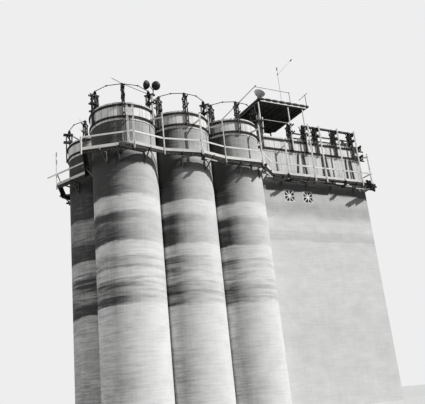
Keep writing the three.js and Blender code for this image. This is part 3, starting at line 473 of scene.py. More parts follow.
def sawn_wood(name, splash, dark, middle, light):
    """Sawn wood in three shades; splash covers it with dried cement."""
    finish = Finish(name)
    grain = finish.noted("grain", 1)
    fibre = finish.noise(grain, (0.8, 26.0, 26.0), 4.0, 0.65)
    cloud = finish.noise(grain, 1.6)
    specks = finish.noise(finish.place(), 9.0, 5.0, 0.7)
    mix = finish.noted("tone", 2) * 0.55 + fibre * 0.40 + (cloud - 0.5) * 0.6 - 0.02
    wood = finish.ramp(mix.held(), [(0.0, dark), (0.5, middle), (1.0, light)])
    colour = finish.blend(wood, CEMENT, finish.spread(specks, 0.52, 0.62, 0.0, splash))
    return finish.feed(colour, 0.85, fibre * 0.7 + specks * 0.5, 0.003)


new_wood = sawn_wood("new_wood", 0.1, (0.58, 0.57, 0.55), (0.84, 0.83, 0.8), (0.94, 0.93, 0.9))
old_wood = sawn_wood("old_wood", 0.2, (0.022, 0.021, 0.02), (0.05, 0.048, 0.045), (0.12, 0.115, 0.11))
grey_wood = sawn_wood("grey_wood", 0.5, (0.1, 0.098, 0.094), (0.2, 0.195, 0.187), (0.38, 0.37, 0.36))
form_wood = sawn_wood("form_wood", 0.12, (0.5, 0.497, 0.49), (0.9, 0.892, 0.875), (0.97, 0.96, 0.945))
hoop_wood = sawn_wood("hoop_wood", 0.2, (0.012, 0.012, 0.011), (0.028, 0.027, 0.026), (0.065, 0.063, 0.06))
yoke_wood = sawn_wood("yoke_wood", 0.4, (0.02, 0.02, 0.019), (0.055, 0.053, 0.05), (0.15, 0.146, 0.14))
roof_wood = sawn_wood("roof_wood", 0.0, (0.06, 0.06, 0.058), (0.11, 0.108, 0.104), (0.2, 0.197, 0.19))
print("wood finishes: 7")

# %% [markdown]
# Jacks, bolts and rods are steel that was painted dark and then oiled and scraped. Edges
# and patches shine a little more than the rest, so roughness follows a noise.

# %% Finish of the steel
def site_steel(name, metal, dark, light):
    """Painted steel with scraped patches and dried cement dust."""
    finish = Finish(name, metal)
    place = finish.place()
    scrape = finish.noise(place, 14.0, 5.0, 0.65)
    dust = finish.noise(place, 3.5, 4.0, 0.6)
    mix = finish.noted("tone", 2) * 0.35 + scrape * 0.5 + (dust - 0.5) * 0.5
    colour = finish.ramp(mix.held(), [(0.0, dark), (0.55, dark), (1.0, light)])
    return finish.feed(colour, finish.spread(scrape, 0.3, 0.7, 0.42, 0.75), scrape, 0.002, 0.5)


dark_steel = site_steel("dark_steel", 0.6, (0.035, 0.035, 0.037), (0.16, 0.16, 0.16))
rail_steel = site_steel("rail_steel", 0.6, (0.08, 0.08, 0.082), (0.24, 0.24, 0.24))
pale_steel = site_steel("pale_steel", 0.0, (0.66, 0.66, 0.655), (0.9, 0.9, 0.89))
print("steel finishes: 3")

# %% [markdown]
# The cell walls are real cylinders. The plain solids have few flats, so each wall is spun
# again with fine steps. Where two cells of a row touch, the wall stops at the plane halfway
# between them, which makes the sharp dark crease. The flat walls and the base slab have the
# right shape already, so those solids only take a finish.

# %% Walls
WALL_FOOT = 0.3 + HAIR
WALL_HEAD = 24.45
FACETS = 240
LIFTS = 24
STOPS = {"left": (1,), "middle": (-1, 1), "right": (-1,)}


def cell_wall(bench, x, stops):
    """A round wall; stops are the sides, -1 or 1, on which a neighbour cuts it off."""
    lifts = [WALL_FOOT + (WALL_HEAD - WALL_FOOT) * i / LIFTS for i in range(LIFTS + 1)]
    inside = [(RADIUS - WALL, WALL_HEAD), (RADIUS - WALL, WALL_FOOT)]
    count = len(lifts) + len(inside)
    corners, faces = [], []
    for i, turn in enumerate(turns(FACETS)):
        c, s = cos(turn), sin(turn)
        outer = RADIUS
        if copysign(1, c) in stops:
            outer = min(outer, (CREASE - HAIR / 2) / max(abs(c), HAIR))
        for out, level in [(outer, lift) for lift in lifts] + inside:
            corners.append((x + out * c, -ROW + out * s, level))
        here, there = i * count, (i + 1) % FACETS * count
        for k in range(count):
            n = (k + 1) % count
            faces.append((here + k, there + k, there + n, here + n))
    bench.put(corners, faces, tone=0.5)


for row in ROWS:
    for column, x in COLUMNS.items():
        bench = Bench(row)
        cell_wall(bench, x, STOPS[column])
        name = f"cell_wall_{row}_{column}"
        bench.nail_up(name, f"silo_{row}_{column}", "concrete", concrete[row, column], wear=0)

for name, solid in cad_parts.items():
    if name.startswith(("block_", "base_slab", "link_wall")):
        solid.data.materials.clear()
        solid.data.materials.append(link_concrete if name.startswith("link_wall") else block_concrete)

# %% [markdown]
# The outer form is a ring of narrow upright boards. Their heads are uneven, cement has run
# between them, and a few are newer than the rest. They are set side by side round each cell,
# as far as the crease with its neighbour.

# %% Form boards
RING_ENDS = {"left": (92.4, 343.4), "middle": (196.6, 343.4), "right": (196.6, 352.4)}
RETURN_ENDS = (-0.70, -0.02)


def stave(bench, inner, out):
    """One board that stands on a point of its inner face."""
    thick = BOARD - between(0.0, 0.006)
    middle = inner + out * (thick / 2)
    foot = middle + UP * (FORM_FOOT + between(0.0, 0.015))
    head = middle + UP * (FORM_HEAD - between(0.0, 0.03))
    bench.bar(foot, head, thick, STAVE - 0.004, out)


def staves_along(bench, start, end, out):
    count = round((end - start).length / STAVE)
    for i in range(count):
        stave(bench, start.lerp(end, (i + 0.5) / count), out)


for row in ROWS:
    bench = Bench(row)
    for column, x in COLUMNS.items():
        start, end = RING_ENDS[column]
        count = round(radians(end - start) * (FORM_IN + FORM_OUT) / 2 / STAVE)
        for i in range(count):
            out = vec(*lean_of(start + (end - start) * (i + 0.5) / count))
            stave(bench, vec(x, -ROW) + out * FORM_IN, out)
    start, end = (vec(-SPACING - WALL / 2, y) for y in RETURN_ENDS)
    staves_along(bench, start, end, vec(-1, 0))
    bench.nail_up(f"form_boards_{row}", "outer_form_silos", "form_staves", form_wood)

bench = Bench()
for side in (-1, 1):
    y = side * BLOCK_FACE
    staves_along(bench, vec(BLOCK_LEFT + 0.01, y), vec(BLOCK_RIGHT, y), vec(0, side))
staves_along(bench, vec(BLOCK_RIGHT, -BLOCK_FACE), vec(BLOCK_RIGHT, BLOCK_FACE), vec(1, 0))
bench.nail_up("form_boards_block", "outer_form_block", "form_staves", form_wood)

# %% [markdown]
# Hoops hold the boards in a true circle. On site a hoop is two layers of curved planks laid
# flat with their joints staggered, nailed through and dark with oil, so each hoop here is
# two rings of separate curved planks. Straight ones do the same along the block.

# %% Hoops
PLANK_TURN = 31.0
PLANK_LONG = 3.6
HOOP_SEAM = 0.002


def planks_between(start, end, long, layer, least):
    """Where the planks of a layer start and stop; the second layer starts with half a plank."""
    stop = start + (long / 2 if layer else long)
    while start < end - least:
        stop = min(stop, end)
        yield start, stop
        start, stop = stop, stop + long


def hoop(bench, centre, level, start, end):
    """Two rings of curved planks."""
    half = HOOP_HIGH / 2
    for layer, low in enumerate((level - half, level + HOOP_SEAM)):
        for way, stop in planks_between(start, end, PLANK_TURN, layer, 0.5):
            far = FORM_OUT + HOOP_DEEP + between(-0.012, 0.0)
            bench.bent(centre, FORM_OUT + 0.001, far, low, low + half - HOOP_SEAM, way, stop - 0.12)


def straight_hoop(bench, start, end, level, out):
    """Two layers of planks along a flat wall."""
    length = (end - start).length
    for layer, mid in enumerate((level - HOOP_HIGH / 4, level + HOOP_HIGH / 4)):
        for far, stop in planks_between(0.0, length, PLANK_LONG, layer, 0.05):
            deep = HOOP_DEEP - between(0.0, 0.012)
            a, b = (start.lerp(end, x / length) + out * (deep / 2) + UP * mid for x in (far, stop - 0.006))
            bench.bar(a, b, deep, HOOP_HIGH / 2 - 0.004, out)


# %% [markdown]
# A yoke is the gallows that lifts the form: one leg outside the wall and one inside, a pair
# of lower beams, a pair of head beams, and on top the screw jack that climbs a steel rod
# standing in the wall. Sloping braces stop it from folding. It is drawn once in its own
# frame, with the first number pointing out of the wall, and then set round the cells.

# %% Yokes and jacks
OUTER_LEG = (0.23, 0.33)
INNER_LEG = (-0.265, -0.165)
LEG_SIDES = (-0.08, 0.08)
BEAM_SIDES = (-0.134, 0.134)
NUT_SIDES = (-0.157, 0.157)
YOKE_FOOT = 23.15
ON_DECK = FORM_HEAD + HAIR
LOWER_BEAM = 25.05
HEAD_BEAM = 25.8
BEAM = 0.15
HEAD_TOP = 25.95
JACK_TOP = 26.28
RAIL_LEVEL = JACK_TOP + 0.029
CELL_TIP = 0.54
JACK_BODY = [
    (0.16, 0.0), (0.16, 0.03), (0.105, 0.035), (0.105, 0.10), (0.135, 0.105), (0.135, 0.145),
    (0.09, 0.15), (0.09, 0.215), (0.125, 0.22), (0.125, 0.27), (0.07, 0.28), (0.07, 0.325),
]
ROD_NUT = [(0.04, 0.0), (0.085, 0.01), (0.085, 0.09), (0.04, 0.1)]
NUT_LEVELS = (24.72, 24.9, 25.32, 25.5, 25.66)


class Yoke:
    """Sets parts of a yoke: out is the distance from the middle of the wall."""

    def __init__(self, timber, steel, foot, way):
        self.timber = timber
        self.steel = steel
        self.foot = vec(*foot)
        self.out = vec(*lean_of(way))
        self.along = UP.cross(self.out)

    def at(self, out, side, level):
        return self.foot + self.out * out + self.along * side + UP * level

    def upright(self, out, side, low, high, wide, deep, **notes):
        self.timber.bar(self.at(out, side, low), self.at(out, side, high), wide, deep, self.out, **notes)

    def build(self, tip, outer_foot=YOKE_FOOT, pale=0):
        for low, (near, far) in ((outer_foot, OUTER_LEG), (ON_DECK, INNER_LEG)):
            mid, deep = (near + far) / 2, far - near
            for side in LEG_SIDES:
                self.upright(mid, side, low, HEAD_TOP - 0.03, deep, 0.07, finish=pale)
            for level in (low + 0.35, low + 1.1, HEAD_BEAM - 0.25):
                if level < HEAD_BEAM - 0.2:
                    self.upright(mid, 0.0, level, level + 0.16, deep - 0.01, 0.088)
        for level, past in ((LOWER_BEAM + BEAM / 2, 0.01), (HEAD_BEAM + BEAM / 2, 0.06)):
            for side in BEAM_SIDES:
                ends = self.at(INNER_LEG[0] - past, side, level), self.at(tip, side, level)
                self.timber.bar(*ends, 0.034, BEAM, self.along)
            for out in (sum(OUTER_LEG) / 2, sum(INNER_LEG) / 2):
                self.steel.rod(self.at(out, -0.17, level), self.at(out, 0.17, level), 0.014, 6)
                for side in NUT_SIDES:
                    self.steel.drum(self.at(out, side, level), self.along, 0.03, 0.006, 6)
        for side in (-0.04, 0.04):
            low = self.at(INNER_LEG[1], side, LOWER_BEAM + BEAM)
            self.timber.bar(low, self.at(OUTER_LEG[0], side, HEAD_BEAM), 0.03, 0.08, self.along)
        self.wedges()
        self.jack()

    def wedges(self):
        """Packing blocks between the outer leg and each hoop."""
        for level in HOOP_LEVELS:
            for side in (-0.13, 0.13):
                spot = self.at(0.19, side * about(1.0, 0.2), level + about(0.0, 0.03))
                self.timber.bar(spot - self.out * 0.07, spot + self.out * 0.1, 0.09, 0.17)

    def jack(self):
        """Base plate, ribbed body, turning bar, and the climbing rod with its nuts."""
        self.steel.turned(JACK_BODY, self.at(0, 0, HEAD_TOP), UP, 14)
        bar = self.at(0, -0.21, HEAD_TOP + 0.24), self.at(0, 0.21, HEAD_TOP + 0.24)
        self.steel.rod(*bar, 0.018, 8)
        self.steel.rod(self.at(0, 0, 24.46), self.at(0, 0, HEAD_TOP + 0.01), 0.034, 8)
        for level in NUT_LEVELS:
            self.steel.turned(ROD_NUT, self.at(0, 0, level), UP, 8)


def round_cell(column, way, radius=MID_WALL):
    c, s = lean_of(way)
    return COLUMNS[column] + radius * c, -ROW + radius * s


def top_rail(steel, points, radius=0.03):
    """Tubes from jack to jack, with a clamp at each joint."""
    points = [vec(*point, RAIL_LEVEL) for point in points]
    for a, b in zip(points, points[1:]):
        steel.rod(a, b, radius)
    for point in points:
        steel.turned([(radius * 1.7, -0.06), (radius * 1.7, 0.05)], point, UP, 10)


def nail_frame(name, hoops, timber, steel):
    """Hoops, yokes and jacks stand together for one plain solid."""
    node = f"yoke_frame_{name}"
    hoops.nail_up(f"hoops_{name}", node, "dark_steel", hoop_wood)
    timber.nail_up(f"yokes_{name}", node, "dark_steel", yoke_wood, new_wood)
    steel.nail_up(f"jacks_{name}", node, "dark_steel", dark_steel, rail_steel, wear=0.002)


# Two yokes that face the sun take the pale wood on their legs, a painted highlight on the lit side.
PAINTED_SUNLIT_YOKES = (("left", 312), ("middle", 318))
YOKE_WAYS = {
    "left": (132, 192, 252, 312),
    "middle": (130, 210, 262, 318),
    "right": (130, 210, 262, 322),
}
CORNER_WAY = 252

for row in ROWS:
    for column, x in COLUMNS.items():
        hoops, timber, steel = Bench(row), Bench(row), Bench(row)
        for level in HOOP_LEVELS:
            hoop(hoops, (x, -ROW), level, *RING_ENDS[column])
            if column == "left":
                edge = x - WALL / 2 - BOARD
                straight_hoop(hoops, vec(edge, -0.72), vec(edge, -0.01), level, vec(-1, 0))
        ways = YOKE_WAYS[column]
        for way in ways:
            foot = ON_DECK if column != "left" and way < 180 else YOKE_FOOT
            pale = int((column, way) in PAINTED_SUNLIT_YOKES)
            Yoke(timber, steel, round_cell(column, way), way).build(CELL_TIP, foot, pale)
        line = [ways[0]]
        for a, b in zip(ways, ways[1:]):
            line += [(a + b) / 2, b]
        top_rail(steel, [round_cell(column, way) for way in line])
        if column == "left":
            leg = Yoke(timber, steel, round_cell(column, CORNER_WAY), CORNER_WAY)
            for side in (-0.07, 0.05):
                leg.upright(0.30, side, 20.6, YOKE_FOOT, 0.09, 0.05)
            top = leg.at(0, 0, RAIL_LEVEL)
            steel.rod(top, vec(*round_cell(column, ways[-1]), HEAD_TOP + 0.08), 0.022, 8)
            steel.rod(top, top + vec(-0.85, 0.1, 0.42), 0.02, 8)
        nail_frame(f"{row}_{column}", hoops, timber, steel)

# %% [markdown]
# Along the block the yokes stand closer together, their head beams reach out over the
# walkway, and crossed boards between them keep them upright. Legs hang down to the walkway,
# and the walings cross and stick out at the right corner.

# %% Block yokes
BLOCK_YOKES = (8.5, 11.9, 13.65, 15.0, 17.3, 19.5)
HANGING_YOKES = BLOCK_YOKES[2:]
END_YOKES = (-1.75, 1.75)
HANGING_LEGS = (
    (12.15, 0.4), (13.3, -0.15), (15.35, 0.1), (16.05, -0.2), (18.3, 0.1), (19.15, -0.15),
)
WALKWAY_TOP = 20.66
WALING_RISES = (-0.16, 0.14, 0.27)
BLOCK_LINE = -BLOCK_FACE + WALL / 2
BLOCK_TIP = 4.2787 + BLOCK_LINE

for row in ROWS:
    hoops, timber, steel = Bench(row), Bench(row), Bench(row)
    for level in HOOP_LEVELS:
        start, end = (vec(x, -BLOCK_FACE - 0.046) for x in (BLOCK_LEFT + 0.005, BLOCK_RIGHT + 0.145))
        straight_hoop(hoops, start, end, level, vec(0, -1))
    for x in BLOCK_YOKES:
        Yoke(timber, steel, (x, BLOCK_LINE), -90).build(BLOCK_TIP)
    face = BLOCK_LINE - 0.36
    for a, b in zip(BLOCK_YOKES[1:], BLOCK_YOKES[2:]):
        for start, end, lift in ((24.68, 25.9, 0.0), (25.9, 24.68, 0.03)):
            timber.bar((b - 0.75, face - lift, start), (b - 0.06, face - lift, end), 0.03, 0.11, FRONT_BACK)
        for start, end, high in ((25.12, 25.1, 0.15), (24.6, 24.62, 0.14)):
            timber.bar((a + 0.06, face + 0.02, start), (b - 0.06, face + 0.02, end), 0.04, high)
    for x in HANGING_YOKES:
        for side, lift in ((-0.2, 0.0), (0.24, 0.3)):
            spot = vec(x + side, BLOCK_LINE - 0.3, 25.42 + lift)
            timber.bar(spot, spot + vec(side * 0.3, -0.08, 0.34), 0.12, 0.16)
    face = -BLOCK_FACE - 0.07
    for x, lean in HANGING_LEGS:
        timber.bar((x, face, WALKWAY_TOP), (x + lean, face, YOKE_FOOT), 0.05, about(0.13, 0.03), FRONT_BACK)
    x, y = BLOCK_RIGHT + 0.1, -BLOCK_FACE - 0.1
    for level in [level + rise for level in HOOP_LEVELS for rise in WALING_RISES]:
        past = x + between(0.25, 0.5)
        timber.bar((x - 0.7, y - 0.03, level), (past, y - 0.03, level), 0.1, 0.11)
        past = y - between(0.25, 0.5)
        timber.bar((x, y + 0.7, level), (x, past, level + 0.06), 0.1, 0.11)
    top_rail(steel, [(x, BLOCK_LINE) for x in HANGING_YOKES], 0.045)
    start, end = HANGING_YOKES[0] - 0.1, HANGING_YOKES[-1] + 0.25
    for y in (BLOCK_LINE - 0.1, BLOCK_LINE + 0.1):
        timber.bar((start, y, JACK_TOP - 0.06), (end, y, JACK_TOP - 0.06), 0.05, 0.13)
    nail_frame(f"block_{row}", hoops, timber, steel)

hoops, timber, steel = Bench(), Bench(), Bench()
for level in HOOP_LEVELS:
    start, end = (vec(BLOCK_RIGHT + 0.046, side * (BLOCK_FACE + 0.045)) for side in (-1, 1))
    straight_hoop(hoops, start, end, level, vec(1, 0))
ends = [(BLOCK_RIGHT - WALL / 2, y) for y in END_YOKES]
for end in ends:
    Yoke(timber, steel, end, 0).build(CELL_TIP)
top_rail(steel, ends)
nail_frame("block_right", hoops, timber, steel)

# %% [markdown]
# Working decks close the cells at the top of the form. They are boards on joists, cut to
# the curve of the wall, so every board ends where a line across the circle ends.

# %% Working decks
DECK_FOOT = 24.3
DECK_BOARD = 0.18
DECK_THICK = 0.05
SEAM = 0.006
BOARD_MID = FORM_HEAD - DECK_THICK / 2
JOIST_MID = (DECK_FOOT + FORM_HEAD - DECK_THICK) / 2
JOIST_HIGH = FORM_HEAD - DECK_THICK - DECK_FOOT - 0.001
JOIST = JOIST_MID - 0.0005
LONGEST = 4.2


def every(step, start, end):
    """The places from start to end, one step apart."""
    while start < end:
        yield start
        start += step


def deck_board(bench, start, end, wide, high):
    """A line of boards, split where it would be longer than a tree gives."""
    start, end = Vector(start), Vector(end)
    way, length = (end - start).normalized(), (end - start).length
    cuts = [0.0]
    while length - cuts[-1] > LONGEST:
        cuts.append(cuts[-1] + between(2.4, 4.0))
    cuts.append(length)
    for a, b in zip(cuts, cuts[1:]):
        here = start + UP * between(-0.006, 0.0)
        if b - a >= 0.03:
            bench.bar(here + way * a, here + way * (b - SEAM), wide, high)


def level_board(bench, x0, x1, y0, y1, mid=BOARD_MID, high=DECK_THICK):
    """Boards that run along the plant and fill a rectangle."""
    y = (y0 + y1) / 2
    deck_board(bench, (x0, y, mid), (x1, y, mid), y1 - y0, high)


def round_deck(bench, x):
    reach = RADIUS - WALL - 0.004
    for y in every(DECK_BOARD, -reach, reach - 0.02):
        top = min(y + DECK_BOARD - SEAM, reach)
        half = sqrt(max(0.0, reach**2 - max(abs(y), abs(top)) ** 2))
        if half > 0.05:
            level_board(bench, x - half, x + half, y - ROW, top - ROW)
    for i in range(-5, 6):
        far = i * 0.42
        half = sqrt(reach**2 - (abs(far) + 0.04) ** 2)
        ends = ((x + far, -ROW + side * half, JOIST_MID) for side in (-1, 1))
        bench.bar(*ends, 0.075, JOIST_HIGH)


def cross_board(bench, x, room, wide, mid, high):
    """A board or joist across the plant, as far as the room to each side."""
    deck_board(bench, (x, -room, mid), (x, room, mid), wide, high)


for row in ROWS:
    for column, x in COLUMNS.items():
        bench = Bench(row)
        round_deck(bench, x)
        bench.nail_up(f"deck_boards_{row}_{column}", f"deck_{row}_{column}", "old_timber", old_wood)

bench = Bench()
room = BLOCK_FACE - WALL - 0.002
start, end = BLOCK_LEFT + WALL, BLOCK_RIGHT - WALL
for y in every(DECK_BOARD, -room, BLOCK_FACE - WALL - 0.05):
    level_board(bench, start + 0.002, end - 0.002, y, min(y + DECK_BOARD - SEAM, room))
for x in every(0.6, start + 0.05, end - 0.04):
    cross_board(bench, x, room, 0.075, JOIST, JOIST_HIGH)
bench.nail_up("deck_boards_block", "deck_block", "old_timber", old_wood)


def between_deck(bench, x0, x1):
    """Boards over the hollow between round walls, each cut to the room it has."""
    reach = RADIUS + 0.02
    for x in every(DECK_BOARD, x0 + 0.004, x1 - 0.02):
        right = min(x + DECK_BOARD - SEAM, x1 - 0.004)
        room = 2.69
        for centre in COLUMNS.values():
            near = max(x, min(right, centre)) - centre
            if abs(near) < reach:
                room = min(room, ROW - sqrt(reach**2 - near**2))
        if room > 0.03:
            cross_board(bench, (x + right) / 2, room, right - x, BOARD_MID, DECK_THICK)
    for y in (-0.45, 0.45):
        deck_board(bench, (x0 + 0.01, y, JOIST), (x1 - 0.01, y, JOIST), 0.08, JOIST_HIGH)


LINK = WALL / 2
HOLLOWS = {
    "left": (-SPACING + LINK, -LINK),
    "middle": (LINK, SPACING - LINK),
    "right": (SPACING + LINK, BLOCK_LEFT),
}
for name, ends in HOLLOWS.items():
    bench = Bench()
    between_deck(bench, *ends)
    bench.nail_up(f"deck_boards_between_{name}", f"deck_between_{name}", "old_timber", old_wood)

# %% [markdown]
# The hanging walkway runs all the way round below the forms. Its outer edge is a zigzag of
# straight faces, and each corner has its own level. Planks are sawn to the mitre at every
# corner, so a corner point at any inset is worked out first and the planks follow it.

# %% The line of the walkway
FRONT_EDGE = [
    (-7.35, 0.0, 20.62), (-8.99, -4.65, 20.62), (-5.68, -6.887, 20.62), (-2.8, -6.29, 20.6),
    (0.34, -6.83, 20.55), (2.69, -6.42, 20.45), (6.17, -6.67, 20.35), (8.81, -4.28, 20.56),
    (20.9, -4.28, 20.56),
]
BACK_CORNERS = [(-7.9, 5.5, 20.62), (-8.85, 3.2, 20.62)]
BACK_EDGE = [(x, -y, z) for x, y, z in reversed(FRONT_EDGE[2:])] + BACK_CORNERS
EDGE = [Vector(point) for point in FRONT_EDGE + BACK_EDGE]
FACES = len(FRONT_EDGE) - 1
PAIR = 2 * len(FRONT_EDGE) - 1
SPLIT = (BLOCK_RIGHT - EDGE[FACES - 1].x) / (EDGE[FACES].x - EDGE[FACES - 1].x)
WHOLE = (0.0, 1.0)
SIDE_FACES = {
    "front": {**dict.fromkeys(range(FACES - 1), WHOLE), FACES - 1: (0.0, SPLIT)},
    "right": {FACES - 1: (SPLIT, 1.0), FACES: WHOLE, FACES + 1: (0.0, 1 - SPLIT)},
    "back": {FACES + 1: (1 - SPLIT, 1.0), **dict.fromkeys(range(FACES + 2, len(EDGE)), WHOLE)},
}


def step_of(face):
    """The level step from the first corner of a face to the next."""
    return (EDGE[(face + 1) % len(EDGE)] - EDGE[face]).to_2d()


def inward(face):
    step = step_of(face).normalized()
    return vec(-step.y, step.x)


def corner(i, inset, rise=0.0):
    """The point at an inset from both faces that meet at a corner."""
    i %= len(EDGE)
    n0, n1 = inward(i - 1), inward(i)
    return EDGE[i] + (n0 + n1) * (inset / (1 + n0.dot(n1))) + UP * rise


def on_face(face, along, inset, rise=0.0):
    """The point at an inset from a face, some way along it from its first corner."""
    a, b = EDGE[face], EDGE[(face + 1) % len(EDGE)]
    return a.lerp(b, along / step_of(face).length) + inward(face) * inset + UP * rise


def run_board(bench, face, stop, near, far, low, high, longest=3.9):
    """A line of boards along one face, between two insets and two rises."""
    square = ((near, low), (far, low), (far, high), (near, high))
    lines = [(corner(face, *spot), corner(face + 1, *spot)) for spot in square]
    start, end = stop
    length = (lines[0][1] - lines[0][0]).length * (end - start)
    count = max(1, ceil(length / longest))
    cuts = [start + (end - start) * about(i / count, 0.12 / count) for i in range(1, count)]
    gap = 0.004 / length
    for a, b in zip([start, *cuts], [*cuts, end]):
        lift = UP * between(-0.003, 0.0)
        bench.block([p.lerp(q, share) + lift for share in (a + gap, b - gap) for p, q in lines])


print("corners of the walkway:", len(EDGE))

# %% [markdown]
# Under the planks sit brackets: a beam from the wall, an upright on the wall and a strut
# between them, each a separate timber with its end sawn square. They stand where the
# photograph shows their ends under the edge. Two lines of planks lie along the cells and
# three along the block. Loose timbers are stowed under the edge, and bundles of them jut
# out, which gives the walkway its ragged shadow.

# %% Planks and brackets
PLANK_LINES = ((0.0325, 0.225), (0.23, 0.42), (0.425, 0.618))
BLOCK_FACES = (FACES - 1, FACES, FACES + 1)
BRACKET_WAYS = {"left": (150, 217.5, 240, 285), "middle": (247.5, 292.5), "right": (255, 300, 330)}
BLOCK_BRACKETS = (10.0, 12.9, 15.8, 18.7)
END_BRACKETS = (-3.0, -0.9, 0.9, 3.0)
BRACKET_WIDE = 0.075
BRACKET_BEAM = 0.15
BRACKET_DROP = 1.05
BRACKET_PAST = 0.16
LEDGER_PAST = {2: (1.2, 0.0), 7: (0.0, 0.3), PAIR - 3: (0.0, 1.2), PAIR - 8: (0.3, 0.0)}
LOOSE_LAYERS = dict.fromkeys((*range(4, 7), *range(PAIR - 7, PAIR - 4)), 2)
LOOSE_LAYERS.update({FACES - 1: 4, FACES: 3, FACES + 1: 4})
PILED = (2, PAIR - 3)
PILE_REACH = 2.3

# Each bundle runs from a point under the planks to a point outside them, at a level.
JUTTING = (
    (11.1, -4.0, 9.96, -4.98, 20.26), (11.0, -4.1, 10.2, -4.85, 20.16),
    (17.6, -4.0, 16.73, -4.89, 20.24), (17.2, -4.1, 16.9, -4.7, 20.1),
    (20.9, -4.0, 19.0, -5.33, 20.28), (20.9, -4.1, 19.25, -5.3, 20.16),
    (20.8, -3.95, 19.1, -5.1, 20.08), (20.85, -4.05, 19.55, -5.15, 20.34),
    (20.95, -4.2, 19.95, -4.95, 20.02), (0.6, -6.4, 0.2, -7.08, 20.2),
    (0.5, -6.3, 0.35, -6.98, 20.1), (5.2, -6.2, 4.85, -6.75, 20.0),
    (6.5, -6.1, 6.25, -6.97, 20.06),
)
CORNER_ENDS = 14


def edge_crossing(point, way):
    """How far a level line runs from a point to the edge, and the level there."""
    dx, dy = lean_of(way)
    found = []
    for face, a in enumerate(EDGE):
        step, gap = step_of(face), a - vec(*point)
        cross = dx * step.y - dy * step.x
        if abs(cross) > 1e-9:
            far = (gap.x * step.y - gap.y * step.x) / cross
            share = (gap.x * dy - gap.y * dx) / cross
            if far > 0 and 0 <= share <= 1:
                found.append((far, on_face(face, share * step.length, 0.0).z))
    return min(found)


def bracket(bench, point, way):
    """A beam from the wall, an upright on the wall and a strut, with two bolts."""
    length, level = edge_crossing(point, way)
    foot, out = vec(*point, level - 0.05), vec(*lean_of(way))
    across, half = UP.cross(out), UP * (BRACKET_BEAM / 2)
    beam_end = foot + out * (length + BRACKET_PAST)
    bench.bar(foot - half, beam_end - half, BRACKET_WIDE, BRACKET_BEAM - 0.002)
    wall = foot + out * (BRACKET_WIDE / 2)
    ends = wall - UP * BRACKET_DROP, wall - UP * (BRACKET_BEAM + 0.001)
    bench.bar(*ends, BRACKET_WIDE, BRACKET_WIDE, across)
    start = foot + out * (BRACKET_WIDE * 0.9) - UP * (BRACKET_DROP - 0.1)
    end = foot + out * (length - 0.15) - UP * (BRACKET_BEAM + 0.02)
    bench.bar(start, end, BRACKET_WIDE - 0.006, 0.1)
    for spot in (foot + out * 0.12 - half, end - out * 0.03 + UP * 0.03):
        bench.rod(spot - across * 0.05, spot + across * 0.05, 0.014, 6, finish=1)


def loose_timbers(bench, face, start, end, layers):
    """Old timbers of mixed length, wedged under the outer edge of the planks."""
    for layer in range(layers):
        along = start + between(0.0, 0.2)
        level = -0.255 - 0.125 * layer
        while along < end - 0.3:
            stop = min(along + between(0.9, 2.6), end)
            inset = about(0.10, 0.05) + 0.03 * layer
            line = [on_face(face, far, inset, about(level, 0.03)) for far in (along, stop)]
            pale = layer > 0 and dice.random() < 0.3
            bench.bar(*line, 0.09, about(0.125, 0.02), finish=int(pale))
            along = stop + between(-0.3, 0.15 + 0.25 * layer)


def along_face(bench, face, ends, inset, rise, wide, high):
    bench.bar(*(on_face(face, far, inset, rise) for far in ends), wide, high)


for row, faces in SIDE_FACES.items():
    planks, brackets = Bench(), Bench()
    for face, stop in faces.items():
        wide = face in BLOCK_FACES
        for near, far in PLANK_LINES[: 3 if wide else 2]:
            run_board(planks, face, stop, near, far, -0.05, 0.0)
        before, past = LEDGER_PAST.get(face, (0.0, 0.0))
        length = step_of(face).length
        start = stop[0] * length - (before if stop[0] == 0 else 0.0)
        end = stop[1] * length + (past if stop[1] == 1 else 0.0)
        along_face(planks, face, (start, end), 0.075, -0.119, 0.07, 0.138)
        inner = max(start, 0.3), end - 0.3
        along_face(planks, face, inner, 0.52 if wide else 0.36, -0.1, 0.06, 0.1)
        loose_timbers(planks, face, start, end, LOOSE_LAYERS.get(face, 1))
        root, reach = (start, PILE_REACH) if before else (end, -PILE_REACH)
        for i in range(4 if face in PILED else 0):
            ends = root + about(0.0, 0.25), root + reach
            rise = -0.27 - 0.13 * (i // 2)
            along_face(planks, face, ends, 0.14 + 0.13 * (i % 2), rise, 0.12, 0.12)
    if row == "right":
        for y in END_BRACKETS:
            bracket(brackets, (BLOCK_RIGHT + HAIR, y), 0)
    else:
        side = ROWS[row]
        for column, ways in BRACKET_WAYS.items():
            for way in ways:
                x, y = round_cell(column, way, RADIUS + HAIR)
                bracket(brackets, (x, side * y), side * way)
        for x in BLOCK_BRACKETS:
            bracket(brackets, (x, side * (-BLOCK_FACE - HAIR)), side * -90)
        for x0, y0, x1, y1, level in JUTTING:
            ends = [(x, y * side, about(level, 0.03)) for x, y in ((x0, y0), (x1, y1))]
            planks.bar(*ends, 0.2, 0.12)
        for _ in range(CORNER_ENDS):
            spot = vec(about(20.85, 0.15), -side * about(4.1, 0.15), about(20.15, 0.35))
            lean = vec(about(0.15, 0.3), about(0.0, 0.3), about(0.0, 0.25))
            planks.bar(spot, spot + lean, 0.08, 0.13)
    node = f"walkway_{row}"
    planks.nail_up(f"walkway_planks_{row}", node, "old_timber", old_wood, new_wood)
    brackets.nail_up(f"walkway_brackets_{row}", node, "old_timber", grey_wood, dark_steel)

# %% [markdown]
# The pale lines of the walkway are its guard: a toe board that keeps tools from falling, a
# hand board at hip height, and the hangers that carry the walkway from above. A hanger is a
# pair of boards with packing blocks between them. They are the newest timber on the site and
# the brightest thing in the photograph.

